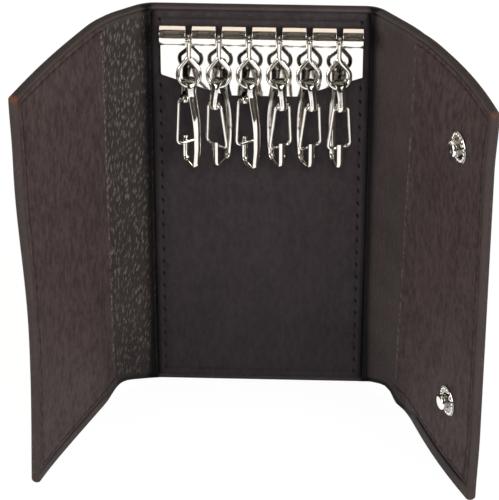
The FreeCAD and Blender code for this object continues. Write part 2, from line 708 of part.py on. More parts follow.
STRIP_HALF = dim("strip_thickness") / 2
LOOP_RADIUS = (dim("hook_bore") + dim("strip_thickness")) / 2
BAR_Y = -(dim("tip_reach") - STRIP_HALF - dim("gate_wire") / 2 - dim("gate_clearance"))


def make_hook(label):
    """A bent strip: upper loop, tab with the gate's knuckle in front, belly behind and upturned tip."""
    body = new_body(label)
    loop = LOOP_RADIUS.number
    belly = dim("belly_reach").number
    tip = -dim("tip_reach").number
    low = -dim("hook_drop").number
    pivot = -dim("gate_pivot_drop").number
    points = [
        Vector(loop, 0, 0), Vector(loop, -loop * 0.85, 0), Vector(belly, -dim("belly_start").number, 0),
        Vector(belly, -dim("belly_end").number, 0), Vector(belly * 0.29, low, 0),
        Vector(tip, low + belly * 0.29, 0), Vector(tip, -dim("tip_drop").number, 0),
    ]
    bends = [dim(f"hook_{place}_bend").number for place in HOOK_BENDS]
    top = arc_points(Vector(), Vector(-loop, 0, 0), Vector(0, loop, 0), math.pi)
    path = [Vector(-loop, pivot, 0)] + top + bent_line(points, bends)[1:]
    half = STRIP_HALF.number
    edges = beside(path, half) + beside(path, -half)[::-1]
    strip = new_sketch(body, "YZ_Plane")
    add_outline(strip, [(point.x, point.y) for point in edges])
    pad(body, strip, dim("strip_width"), symmetric=True)
    knuckle = new_sketch(body, "YZ_Plane")
    add_outline(knuckle, polygon_points(-loop, pivot, dim("knuckle_diameter").number, KNUCKLE_SIDES))
    pad(body, knuckle, dim("strip_width"), symmetric=True)
    bore = new_sketch(body, "YZ_Plane")
    bore_diameter = dim("gate_wire") + dim("pivot_clearance") * 2
    add_outline(bore, polygon_points(-loop, pivot, bore_diameter.number, KNUCKLE_SIDES))
    pocket(body, bore, dim("strip_width") * 2, symmetric=True)
    return body


GATE_RUN = dim("gate_bar_drop") - dim("gate_pivot_drop")
GATE_LEAN = math.degrees(math.atan2((BAR_Y + LOOP_RADIUS).number, GATE_RUN.number))
GATE_LENGTH = math.hypot((BAR_Y + LOOP_RADIUS).number, GATE_RUN.number)


def make_gate(label):
    """A wire bow that hangs from two inner ends, widest at its lower bar."""
    body = new_body(label)
    pin = dim("gate_pin_gap").number / 2
    top = dim("gate_top_width").number / 2
    bar = dim("gate_bar_width").number / 2
    path = new_sketch(body, "XZ_Plane")
    points = [
        Vector(-pin, 0, 0), Vector(-top, 0, 0), Vector(-bar, -GATE_LENGTH, 0),
        Vector(bar, -GATE_LENGTH, 0), Vector(top, 0, 0), Vector(pin, 0, 0),
    ]
    upper, lower = dim("gate_top_bend").number, dim("gate_bar_bend").number
    line = bent_line(points, [upper, lower, lower, upper])
    for start, end in zip(line, line[1:]):
        path.addGeometry(Part.LineSegment(start, end), False)
    section = new_sketch(body, "YZ_Plane", -dim("gate_pin_gap") / 2)
    add_outline(section, polygon_points(0, 0, dim("gate_wire").number, WIRE_SIDES))
    bow = body.newObject("PartDesign::AdditivePipe", f"{label}_bow")
    bow.Profile = section
    bow.Spine = (path, [])
    bow.Transition = "Right corner"
    return body


EYE_LEAN = Rotation(X_AXIS, -dim("eye_lean_angle").number)
EYE = eye_shape()
for number in HOOK_NUMBERS:
    rod_point = Vector(hook_x(number).number, CURL_Y.number, ROD_Z.number)
    eye_frame = Placement(rod_point, EYE_LEAN)
    eye = DOC.addObject("Part::Feature", f"eye_{number}")
    eye.Label = f"eye_{number}"
    eye.Shape = EYE.copy()
    eye.Placement = eye_frame
    pivot = eye_frame.multVec(Vector(0, 0, -dim("eye_length").number))
    hook_frame = Placement(pivot, Rotation(Z_AXIS, dim(f"hook_turn_{number}").number))
    make_hook(f"hook_{number}").Placement = hook_frame
    gate_pivot = Vector(0, -LOOP_RADIUS.number, -dim("gate_pivot_drop").number)
    make_gate(f"gate_{number}").Placement = hook_frame * Placement(gate_pivot, Rotation(X_AXIS, GATE_LEAN))

DOC.recompute()

# Every object has to be sound before anything is written
for item in DOC.Objects:
    if "Invalid" in item.State or "Error" in item.State:
        raise ValueError(f"{item.Label} is {item.State}")
KINDS = ("PartDesign::Body", "Part::Cylinder", "Part::Feature")
SUBPARTS = [item for item in DOC.Objects if item.TypeId in KINDS]
for item in SUBPARTS:
    if item.Shape.isNull() or not item.Shape.isValid() or len(item.Shape.Solids) != 1:
        raise ValueError(f"{item.Label} is not one sound solid")

os.makedirs("parts", exist_ok=True)
for item in SUBPARTS:
    item.Shape.exportStep(f"parts/{item.Label}.step")
print(f"wrote {len(SUBPARTS)} sub-parts")
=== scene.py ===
"""Key case standing open on a white table: grained leather, dark stitching and nickel fittings."""

import logging
import math
from dataclasses import dataclass
from enum import Enum
from typing import Sequence

import bmesh
import bpy
import numpy as np
from mathutils import Matrix, Vector


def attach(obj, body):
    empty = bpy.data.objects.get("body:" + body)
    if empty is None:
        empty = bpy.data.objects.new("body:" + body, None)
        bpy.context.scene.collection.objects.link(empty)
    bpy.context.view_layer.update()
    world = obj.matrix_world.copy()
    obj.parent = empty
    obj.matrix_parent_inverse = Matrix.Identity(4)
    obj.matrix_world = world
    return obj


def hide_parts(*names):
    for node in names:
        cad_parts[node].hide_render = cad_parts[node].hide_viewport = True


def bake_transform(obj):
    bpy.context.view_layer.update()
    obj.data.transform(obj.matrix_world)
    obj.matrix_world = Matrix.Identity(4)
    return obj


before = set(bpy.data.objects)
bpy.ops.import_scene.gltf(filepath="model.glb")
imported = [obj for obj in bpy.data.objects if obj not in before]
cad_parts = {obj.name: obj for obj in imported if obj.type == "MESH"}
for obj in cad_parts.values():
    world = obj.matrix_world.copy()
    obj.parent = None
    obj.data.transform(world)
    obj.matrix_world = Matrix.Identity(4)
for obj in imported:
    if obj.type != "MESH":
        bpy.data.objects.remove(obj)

LOG = logging.getLogger("key_case")

Point = tuple[float, float, float]
Shape = tuple[np.ndarray, list]
Grids = tuple[np.ndarray, np.ndarray]
Finish = bpy.types.Material
Piece = bpy.types.Object

# Sizes are in mm, and MM turns them to metres
MM = 0.001
HEIGHT = 114.0

# Half the thickness of a panel
HALF = 1.3

# Hem of a cover, as distances in from its edge: its rounding and its flat part
HEM_ROUND = 0.9
HEM_FLAT = 0.75

# Sewn valley behind the hem: where it starts to fall, where it is lowest and where it starts to rise
VALLEY_START = 0.8
VALLEY_FALL = 0.5
VALLEY = 1.35
VALLEY_END = 1.6
VALLEY_RISE = 0.8

# Distances in from an edge where the mesh of a cover is fine
HEM_STEPS = (0.0, 0.04, 0.14, 0.3, 0.5, 0.7, 0.8, 0.9, 1.05, 1.2, 1.35, 1.6, 2.0, 2.4, 2.9)

# Inner face of a cover under a lining, and how much further in it stands where it is bare
SEAT = 0.75
BARE_RISE = 0.3

# Back of a lining, the rounding of its edge and where its mesh is fine
LINING_BACK = 0.7
LINING_ROUND = 0.7
PANEL_STEPS = (0.0, 0.03, 0.1, 0.2, 0.35, 0.5, 0.7, 0.9, 1.1, 1.3, 1.5, 1.7, 2.0, 2.3, 2.6, 2.9)

# Steps from the middle of a fold to its end
FOLD_STEPS = 8

# Heights of the two snaps, and how far past the flap's fold their halves sit
SNAPS = {"upper": 96.9, "lower": 21.7}
STUD_REACH = 26.5
SOCKET_REACH = 30.9

# Rod inside the rail, places of the six eyes along it and the turn of each hook about the upright
ROD_Y = -4.0
ROD_Z = 106.0
EYE_PLACES = (-17.75, -10.25, -2.75, 4.75, 12.25, 19.75)
HOOK_TURNS = (-149.0, -32.0, -149.0, 30.0, 30.0, 20.0)

# Kinds of node that are used most
ATTRIBUTE = "ShaderNodeAttribute"
BUMP = "ShaderNodeBump"
COORDINATES = "ShaderNodeTexCoord"
MAPPING = "ShaderNodeMapping"
MATH = "ShaderNodeMath"
MIX = "ShaderNodeMix"
NOISE = "ShaderNodeTexNoise"
OUTPUT = "ShaderNodeOutputMaterial"
PRINCIPLED = "ShaderNodeBsdfPrincipled"
RANGE = "ShaderNodeMapRange"


class Side(Enum):
    """The two sides of the case, as the sign of X."""

    LEFT = -1
    RIGHT = 1

    @property
    def word(self) -> str:
        """Name used for bodies and pieces."""
        return self.name.lower()


class BowShape(Enum):
    """How a bow runs from the flap's fold to its free edge."""

    CURL = "free edge curls"
    ARCH = "middle of the flap arches"


# Small tools


def srgb(code: str) -> tuple[float, float, float, float]:
    """Linear colour of a hex code.

    Args:
        code: six hex digits.

    Returns:
        Linear red, green, blue and a full alpha.
    """
    parts = [int(code[i : i + 2], 16) / 255 for i in (0, 2, 4)]
    red, green, blue = (c / 12.92 if c <= 0.04045 else ((c + 0.055) / 1.055) ** 2.4 for c in parts)
    return red, green, blue, 1.0


def empty_tree(owner: bpy.types.Material | bpy.types.World) -> bpy.types.NodeTree:
    """Node tree of a new material or world, with nothing in it.

    Args:
        owner: the material or world.

    Returns:
        The tree.
    """
    owner.use_nodes = True
    owner.node_tree.nodes.clear()
    return owner.node_tree


def add_node(tree: bpy.types.NodeTree, kind: str, inputs: dict | None = None, **settings) -> bpy.types.Node:
    """Add a node with its settings and links.

    Args:
        tree: node tree that takes the node.
        kind: node type name.
        inputs: constants, sockets, or nodes whose first output is meant, by input name or number.
        settings: properties of the node.

    Returns:
        The new node.
    """
    node = tree.nodes.new(kind)
    for key, value in settings.items():
        setattr(node, key, value)
    for key, value in (inputs or {}).items():
        if isinstance(value, bpy.types.Node):
            value = value.outputs[0]
        if isinstance(value, bpy.types.NodeSocket):
            tree.links.new(value, node.inputs[key])
        else:
            node.inputs[key].default_value = value
    return node


def smoothstep(value: np.ndarray) -> np.ndarray:
    """Smooth rise from 0 to 1."""
    value = np.clip(value, 0, 1)
    return value * value * (3 - 2 * value)


def rounded(value: np.ndarray) -> np.ndarray:
    """Quarter circle that rises from 0 to 1."""
    return np.sqrt(1 - (1 - np.clip(value, 0, 1)) ** 2)


def bell(value: np.ndarray, width: float) -> np.ndarray:
    """Smooth hump that is 1 where the value is 0 and fades over a width."""
    return np.exp(-((value / width) ** 2))


def spread(stops: Sequence[float], step: float) -> np.ndarray:
    """Sorted stations with no gap wider than a step.

    Args:
        stops: stations that must be there.
        step: widest gap.

    Returns:
        All stations in order.
    """
    stops = sorted(set(round(s, 4) for s in stops))
    found = [stops[0]]
    for low, high in zip(stops, stops[1:]):
        count = max(1, math.ceil((high - low) / step - 1e-6))
        found.extend(low + (high - low) * (i + 1) / count for i in range(count))
    return np.array(found)


def make_object(
    name: str,
    shape: Shape,
    material: Finish,
    sharp: float = 35.0,
    marks: dict[str, np.ndarray] | None = None,
) -> Piece:
    """Closed mesh object from points in mm.

    Args:
        name: name of the piece.
        shape: corner places in mm, and the corner numbers of each face.
        material: finish of the piece.
        sharp: angle in degrees above which an edge stays sharp.
        marks: extra vectors (n, 3) or numbers (n) kept on the corners.

    Returns:
        The object, linked to the scene.
    """
    points, faces = shape
    mesh = bpy.data.meshes.new(name)
    mesh.from_pydata((np.asarray(points, float) * MM).tolist(), [], faces)
    for label, values in (marks or {}).items():
        vector = values.ndim == 2
        attribute = mesh.attributes.new(label, "FLOAT_VECTOR" if vector else "FLOAT", "POINT")
        attribute.data.foreach_set("vector" if vector else "value", values.astype(np.float32).ravel())
    work = bmesh.new()
    work.from_mesh(mesh)
    bmesh.ops.remove_doubles(work, verts=work.verts, dist=1e-7)
    bmesh.ops.dissolve_degenerate(work, edges=work.edges, dist=1e-8)
    bmesh.ops.recalc_face_normals(work, faces=work.faces)
    work.to_mesh(mesh)
    work.free()
    mesh.shade_smooth()
    mesh.set_sharp_from_angle(angle=math.radians(sharp))
    mesh.materials.append(material)
    return link(name, mesh)


def link(name: str, data: bpy.types.ID) -> Piece:
    """New object in the scene.

    Args:
        name: name of the object.
        data: its mesh, light or camera.

    Returns:
        The object.
    """
    made = bpy.data.objects.new(name, data)
    bpy.context.scene.collection.objects.link(made)
    return made


def settle(piece: Piece, body: str, slot: str, *nodes: str) -> Piece:
    """Let a piece move with a body and stand for its CAD nodes.

    Args:
        piece: the piece.
        body: body that carries it.
        slot: name of its finish in the library; not used.
        nodes: CAD nodes that it replaces, if any.

    Returns:
        The same piece.
    """
    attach(piece, body)
    if nodes:
        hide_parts(*nodes)
    return piece


def bake(piece: Piece) -> None:
    """Turn an object's modifiers into a plain mesh.

    Args:
        piece: the object.
    """
    graph = bpy.context.evaluated_depsgraph_get()
    mesh = bpy.data.meshes.new_from_object(piece.evaluated_get(graph), depsgraph=graph)
    mesh.name = piece.name
    piece.modifiers.clear()
    piece.data = mesh


def place(points: np.ndarray, matrix: Matrix) -> np.ndarray:
    """Points moved by a matrix."""
    grid = np.array(matrix)
    return np.asarray(points) @ grid[:3, :3].T + grid[:3, 3]


def fillet(points: Sequence[Point], bends: Sequence[float], steps: int = 10) -> np.ndarray:
    """Path with rounded corners.

    Args:
        points: corners of the path.
        bends: bend radius at each inner corner.
        steps: points along each bend.

    Returns:
        Points of the rounded path.
    """
    path = [Vector(points[0])]
    for before, corner, after, radius in zip(points, points[1:], points[2:], bends):
        back = (Vector(before) - Vector(corner)).normalized()
        ahead = (Vector(after) - Vector(corner)).normalized()
        half = back.angle(ahead) / 2
        reach = radius / math.tan(half)
        centre = Vector(corner) + (back + ahead).normalized() * radius / math.sin(half)
        first = Vector(corner) + back * reach - centre
        last = Vector(corner) + ahead * reach - centre
        whole = first.angle(last)
        for i in range(steps + 1):
            share = i / steps
            turn = (math.sin((1 - share) * whole) * first + math.sin(share * whole) * last) / math.sin(whole)
            path.append(centre + turn)
    path.append(Vector(points[-1]))
    return np.array(path)


def even(path: np.ndarray, step: float) -> np.ndarray:
    """Path with points at even distances.

    Args:
        path: points of the path.
        step: distance between points.

    Returns:
        The new points, ends kept.
    """
    lengths = np.concatenate([[0], np.cumsum(np.linalg.norm(np.diff(path, axis=0), axis=1))])
    marks = np.linspace(0, lengths[-1], max(2, round(lengths[-1] / step) + 1))
    return np.stack([np.interp(marks, lengths, path[:, k]) for k in range(3)], axis=1)


def circle(radius: float, sides: int) -> np.ndarray:
    """Corners of a round section."""
    turns = np.arange(sides) * 2 * math.pi / sides
    return np.stack([np.cos(turns), np.sin(turns)], axis=1) * radius


def sweep(
    path: np.ndarray,
    section: np.ndarray,
    closed: bool,
    side: Point | None = None,
    scale: np.ndarray | None = None,
) -> Shape:
    """Section carried along a path.

    Args:
        path: points of the path.
        section: corners of the section (n, 2).
        closed: whether the path is a loop.
        side: fixed direction of the section's first axis, or none for a round wire.
        scale: width factor of the section's first axis at each point.

    Returns:
        Points and faces.
    """
    ahead = np.roll(path, -1, axis=0) - np.roll(path, 1, axis=0)
    if not closed:
        ahead[0] = path[1] - path[0]
        ahead[-1] = path[-1] - path[-2]
    ahead /= np.linalg.norm(ahead, axis=1)[:, None]
    # a round wire may start at any turn, so its first direction is only kept off the path's own
    first = np.array(side if side else (0.31, 0.87, 0.38))
    first = first - ahead[0] * (first @ ahead[0])
    points = []
    for number, (spot, way) in enumerate(zip(path, ahead)):
        first = np.array(side) if side else first - way * (first @ way)
        first = first / np.linalg.norm(first)
        second = np.cross(way, first)
        wide = 1.0 if scale is None else scale[number]
        points.extend(spot + first * a * wide + second * b for a, b in section)
    count, around = len(path), len(section)
    faces = []
    for i in range(count if closed else count - 1):
        low, high = i * around, (i + 1) % count * around
        for k in range(around):
            after = (k + 1) % around
            faces.append((low + k, low + after, high + after, high + k))
    if not closed:
        faces.append(tuple(range(around)))
        faces.append(tuple(range((count - 1) * around, count * around)))
    return np.array(points), faces


def lathe(outline: Sequence[tuple[float, float]], sides: int) -> Shape:
    """Outline turned about Z.

    Args:
        outline: radius and height of each corner, a closed loop or from axis to axis.
        sides: steps round the axis.

    Returns:
        Points and faces.
    """
    turns = np.arange(sides) * 2 * math.pi / sides
    points = [(r * math.cos(t), r * math.sin(t), h) for t in turns for r, h in outline]
    count = len(outline)
    faces = []
    for i in range(sides):
        low, high = i * count, (i + 1) % sides * count
        for k in range(count):
            after = (k + 1) % count
            faces.append((low + k, high + k, high + after, low + after))
    return np.array(points), faces


# Finishes


@dataclass(frozen=True)
class Leather:
    """Dyed cowhide, tanned, dyed through and rolled.

    It gives the eye a dull brown black skin: pebbles stretched upwards, fine pores, long streaks of dye,
    painted shade in creases and in the valleys of the grain, painted highlights on the tops of the pebbles,
    and pale fibres where an edge was cut. Scales are waves per mm on the hide, grain is the width of a
    pebble in mm, and colours are hex codes.
    """

    name: str
    dark: str
    light: str
    # pale colour of the painted highlights on the pebbles' tops
    top: str
    grain: float
    stretch: float
    depth: float
    streak_depth: float
    streak_tone: float
    roughness: float
    tilt: float = 10.0
    drift: float = 0.6
    sway: float = 1.2
    pores: float = 3.2
    pore_depth: float = 0.25
    streaks: Point = (0.85, 0.85, 0.38)
    clouds: float = 0.09
    patches: float = 0.9
    fibres: float = 0.8
    valley_share: float = 0.4
    relief: float = 0.16 * MM
    gloss_range: float = 0.08
    specular: float = 0.08
    # near black of the painted shade in the grain's valleys
    valley_colour: str = "141111"
    rim_colour: str = "4b4240"
    wear_colour: str = "71432f"
    fibre_colour: str = "94877e"
    # near black of the painted shade in creases, folds, gaps and at the hems
    painted_shade_colour: str = "0c0b0c"

    def material(self) -> Finish:
        """Node material read from the coordinates kept on the hide.

        Returns:
            The material.
        """
        made = bpy.data.materials.new(self.name)
        tree = empty_tree(made)
        hide = add_node(tree, ATTRIBUTE, attribute_name="hide").outputs["Vector"]
        labels = ("rim", "wear", "painted_shade", "pebble", "fray")
        mark = {k: add_node(tree, ATTRIBUTE, attribute_name=k).outputs["Fac"] for k in labels}
        # pebbles of the grain, pulled upwards, leaning and a little bent by a slow noise
        drift = add_node(tree, NOISE, {"Vector": hide, "Scale": self.drift, "Detail": 2.0})
        moved = {0: drift.outputs["Color"], 1: (self.sway, self.sway, self.sway), 2: hide}
        bent = add_node(tree, "ShaderNodeVectorMath", moved, operation="MULTIPLY_ADD")
        pulled = add_node(
            tree,
            MAPPING,
            {
                "Vector": bent,
                "Rotation": (0.0, math.radians(self.tilt), 0.0),
                "Scale": (self.grain, self.grain, self.grain * self.stretch),
            },
            vector_type="TEXTURE",
        )
        cells = add_node(
            tree,
            "ShaderNodeTexVoronoi",
            {"Vector": pulled, "Scale": 1.0, "Smoothness": 0.25, "Randomness": 1.0},
            feature="SMOOTH_F1",
        )
        hill = add_node(
            tree,
            RANGE,
            {"Value": cells, "From Min": 0.1, "From Max": 0.7, "To Min": 1.0, "To Max": 0.0},
            interpolation_type="SMOOTHSTEP",
        )
        hill = add_node(tree, MATH, {0: hill, 1: mark["pebble"]}, operation="MULTIPLY")
        # pores about 0.3 mm apart, and streaks about 1.2 mm wide and 2.6 mm long
        pores = add_node(tree, NOISE, {"Vector": hide, "Scale": self.pores, "Detail": 4.0, "Roughness": 0.6})
        long = add_node(tree, MAPPING, {"Vector": bent, "Scale": self.streaks})
        streak = add_node(tree, NOISE, {"Vector": long, "Scale": 1.0, "Detail": 3.0, "Roughness": 0.6})
        rise = add_node(tree, MATH, {0: pores, 1: self.pore_depth, 2: 0.0}, operation="MULTIPLY_ADD")
        for part, depth in ((hill, self.depth), (streak, self.streak_depth)):
            rise = add_node(tree, MATH, {0: part, 1: depth, 2: rise}, operation="MULTIPLY_ADD")
        bump = add_node(tree, BUMP, {"Strength": 1.0, "Distance": self.relief, "Height": rise})
        # slow change of tone and long streaks of the dye
        tone = add_node(tree, NOISE, {"Vector": hide, "Scale": self.clouds, "Detail": 3.0})
        tone = add_node(
            tree,
            RANGE,
            {"Value": tone, "From Min": 0.3, "From Max": 0.7, "To Min": 0.0, "To Max": 1 - self.streak_tone},
        )
        line = add_node(
            tree,
            RANGE,
            {"Value": streak, "From Min": 0.36, "From Max": 0.64, "To Min": 0.0, "To Max": self.streak_tone},
        )
        shade = add_node(tree, MATH, {0: tone, 1: line}, operation="ADD")
        dyed = {"Factor": shade, 6: srgb(self.dark), 7: srgb(self.light)}
        colour = add_node(tree, MIX, dyed, data_type="RGBA")
        # painted shade in the valleys of the grain, and painted highlights on the tops of most pebbles
        valley = add_node(tree, MATH, {0: mark["pebble"], 1: hill}, operation="SUBTRACT")
        valley = add_node(tree, MATH, {0: valley, 1: self.valley_share}, operation="MULTIPLY")
        cloudy = {"Vector": hide, "Scale": self.patches, "Detail": 4.0, "Roughness": 0.7}
        patch = add_node(tree, NOISE, cloudy)
        patch = add_node(
            tree,
            RANGE,
            {"Value": patch, "From Min": 0.15, "From Max": 0.55, "To Min": 0.0, "To Max": 1.0},
        )
        painted_share = add_node(
            tree,
            RANGE,
            {"Value": hill, "From Min": 0.3, "From Max": 0.9, "To Min": 0.0, "To Max": 0.95},
        )
        painted_share = add_node(tree, MATH, {0: painted_share, 1: patch}, operation="MULTIPLY")
        # raw edge of a panel shows pale fibres here and there
        torn = add_node(tree, NOISE, {"Vector": hide, "Scale": self.fibres, "Detail": 2.0, "Roughness": 0.6})
        torn = add_node(
            tree,
            RANGE,
            {"Value": torn, "From Min": 0.48, "From Max": 0.6, "To Min": 0.02, "To Max": 1.0},
        )
        torn = add_node(tree, MATH, {0: torn, 1: mark["fray"]}, operation="MULTIPLY")
        # over the dye: painted shade in the grain's valleys, painted highlights on its tops, the rubbed rim,
        # the worn corners, pale fibres, and painted shade in creases, folds, gaps and at the hems
        layers = (
            (valley, self.valley_colour),
            (painted_share, self.top),
            (mark["rim"], self.rim_colour),
            (mark["wear"], self.wear_colour),
            (torn, self.fibre_colour),
            (mark["painted_shade"], self.painted_shade_colour),
        )
        for share, code in layers:
            over = {"Factor": share, 6: colour.outputs[2], 7: srgb(code)}
            colour = add_node(tree, MIX, over, data_type="RGBA")
        gloss = add_node(
            tree,
            RANGE,
            {
                "Value": pores,
                "From Min": 0.3,
                "From Max": 0.7,
                "To Min": self.roughness - self.gloss_range,
                "To Max": self.roughness + self.gloss_range,
            },
        )
        skin = add_node(
            tree,
            PRINCIPLED,
            {
                "Base Color": colour.outputs[2],
                "Roughness": gloss,
                "Specular IOR Level": self.specular,
                "Normal": bump,
            },
        )
        add_node(tree, OUTPUT, {"Surface": skin})
        return made


@dataclass(frozen=True)
class Nickel:
    """Nickel plate on pressed or drawn steel, polished.

    It gives the eye a warm white mirror with hazy patches, fine drawn lines, and painted dark reflections
    and shade behind the wires, in the hook's head and in the snap stud's hollow.
    Scales are waves per metre: patches of about 4.5 mm, and lines about 0.1 mm wide and 3.3 mm long.
    """

    name: str
    colour: str
    second: str
    roughness: float
    haze: float
    clouds: float = 220.0
    lines: Point = (300.0, 9000.0, 9000.0)
    line_depth: float = 0.02 * MM
    # colour of the painted dark reflection and shade
    painted_dark_colour: str = "2b2721"

    def material(self) -> Finish:
        """Node material read from the piece's own coordinates.

        Returns:
            The material.
        """
        made = bpy.data.materials.new(self.name)
        tree = empty_tree(made)
        spot = add_node(tree, COORDINATES).outputs["Object"]
        hazy = {"Vector": spot, "Scale": self.clouds, "Detail": 4.0, "Roughness": 0.6}
        cloud = add_node(tree, NOISE, hazy)
        drawn = add_node(tree, MAPPING, {"Vector": spot, "Scale": self.lines})
        lines = add_node(tree, NOISE, {"Vector": drawn, "Scale": 1.0, "Detail": 2.0})
        gloss = add_node(
            tree,
            RANGE,
            {
                "Value": cloud,
                "From Min": 0.35,
                "From Max": 0.7,
                "To Min": self.roughness,
                "To Max": self.roughness + self.haze,
            },
        )
        plated = {"Factor": cloud, 6: srgb(self.colour), 7: srgb(self.second)}
        colour = add_node(tree, MIX, plated, data_type="RGBA")
        # painted dark reflection and shade behind the wires, where a hook rides in its eye, and in the
        # stud's hollow
        painted_dark = add_node(tree, ATTRIBUTE, attribute_name="painted_dark").outputs["Fac"]
        over = {"Factor": painted_dark, 6: colour.outputs[2], 7: srgb(self.painted_dark_colour)}
        colour = add_node(tree, MIX, over, data_type="RGBA")
        bump = add_node(tree, BUMP, {"Strength": 0.25, "Distance": self.line_depth, "Height": lines})
        plate = add_node(
            tree,
            PRINCIPLED,
            {"Base Color": colour.outputs[2], "Metallic": 1.0, "Roughness": gloss, "Normal": bump},
        )
        add_node(tree, OUTPUT, {"Surface": plate})
        return made


@dataclass(frozen=True)
class Thread:
    """Waxed linen thread, twisted: it gives the eye short dull strands with slanting ridges."""

    name: str
    colour: str
    sheen: str
    twists: float = 900.0
    twist_depth: float = 0.06 * MM

    def material(self) -> Finish:
        """Node material read from the piece's own coordinates.

        Returns:
            The material.
        """
        made = bpy.data.materials.new(self.name)
        tree = empty_tree(made)
        spot = add_node(tree, COORDINATES).outputs["Object"]
        wave = {"Vector": spot, "Scale": self.twists, "Distortion": 2.0, "Detail": 2.0}
        twist = add_node(tree, "ShaderNodeTexWave", wave, bands_direction="DIAGONAL").outputs["Fac"]
        waxed = {"Factor": twist, 6: srgb(self.colour), 7: srgb(self.sheen)}
        colour = add_node(tree, MIX, waxed, data_type="RGBA")
        bump = add_node(tree, BUMP, {"Strength": 0.6, "Distance": self.twist_depth, "Height": twist})
        strand = add_node(
            tree,
            PRINCIPLED,
            {"Base Color": colour.outputs[2], "Roughness": 0.8, "Specular IOR Level": 0.2, "Normal": bump},
        )
        add_node(tree, OUTPUT, {"Surface": strand})
        return made


# Grained hide of the covers: tall close pebbles, with painted highlights on top and painted shade between
GRAINED = Leather(
    name="grained_cowhide",
    dark="453d3b",
    light="534a48",
    top="766d68",
    grain=0.75,
    stretch=3.0,
    depth=2.4,
    streak_depth=0.3,
    streak_tone=0.3,
    roughness=0.6,
)

# Plain hide of the flaps' linings: a browner skin with long clear streaks
SMOOTH = Leather(
    name="smooth_cowhide",
    dark="3c3231",
    light="584b4a",
    top="6b605c",
    grain=0.6,
    stretch=2.0,
    depth=0.4,
    streak_depth=1.2,
    streak_tone=0.8,
    roughness=0.65,
)

# Soft hide of the centre panel: greyer, with fainter streaks, and darker, partly as painted shade of the
# recess between the flaps
CENTRE = Leather(
    name="soft_cowhide",
    dark="3a3436",
    light="4b4345",
    top="6b605c",
    grain=0.6,
    stretch=2.0,
    depth=0.4,
    streak_depth=0.8,
    streak_tone=0.6,
    roughness=0.65,
)

# Whiter plate on the rail and the snaps, and warmer plate on the drawn wires and strips
NICKEL = Nickel("nickel_plate", colour="fdfcfa", second="f4efe6", roughness=0.03, haze=0.06)
WIRE_NICKEL = Nickel("drawn_nickel", colour="faf8f4", second="ece5da", roughness=0.03, haze=0.06)

# Black stitches of the centre panel and brown ones of the flaps
THREAD = Thread("waxed_black_thread", colour="0b0909", sheen="1a1514")
BROWN_THREAD = Thread("waxed_brown_thread", colour="241c1b", sheen="352a28")


# Plan of the leather


@dataclass(frozen=True)
class Bow:
    """Part of a flap that long use has pushed out of its plane."""

    push: float
    middle: float
    below: float
    above: float
    shape: BowShape
    curl_power: int = 6
    arch_share: float = 0.9

    def depth(self, share: float, up: float) -> float:
        """Distance outwards at a spot of the flap.

        Args:
            share: place between the fold at 0 and the free edge at 1.
            up: height.

        Returns:
            The distance, less than zero inwards.
        """
        curl = self.shape is BowShape.CURL
        run = share**self.curl_power if curl else math.sin(math.pi * self.arch_share * share)
        half = self.above if up > self.middle else self.below
        return self.push * run * math.cos(np.clip((up - self.middle) / half, -1, 1) * math.pi / 2) ** 2


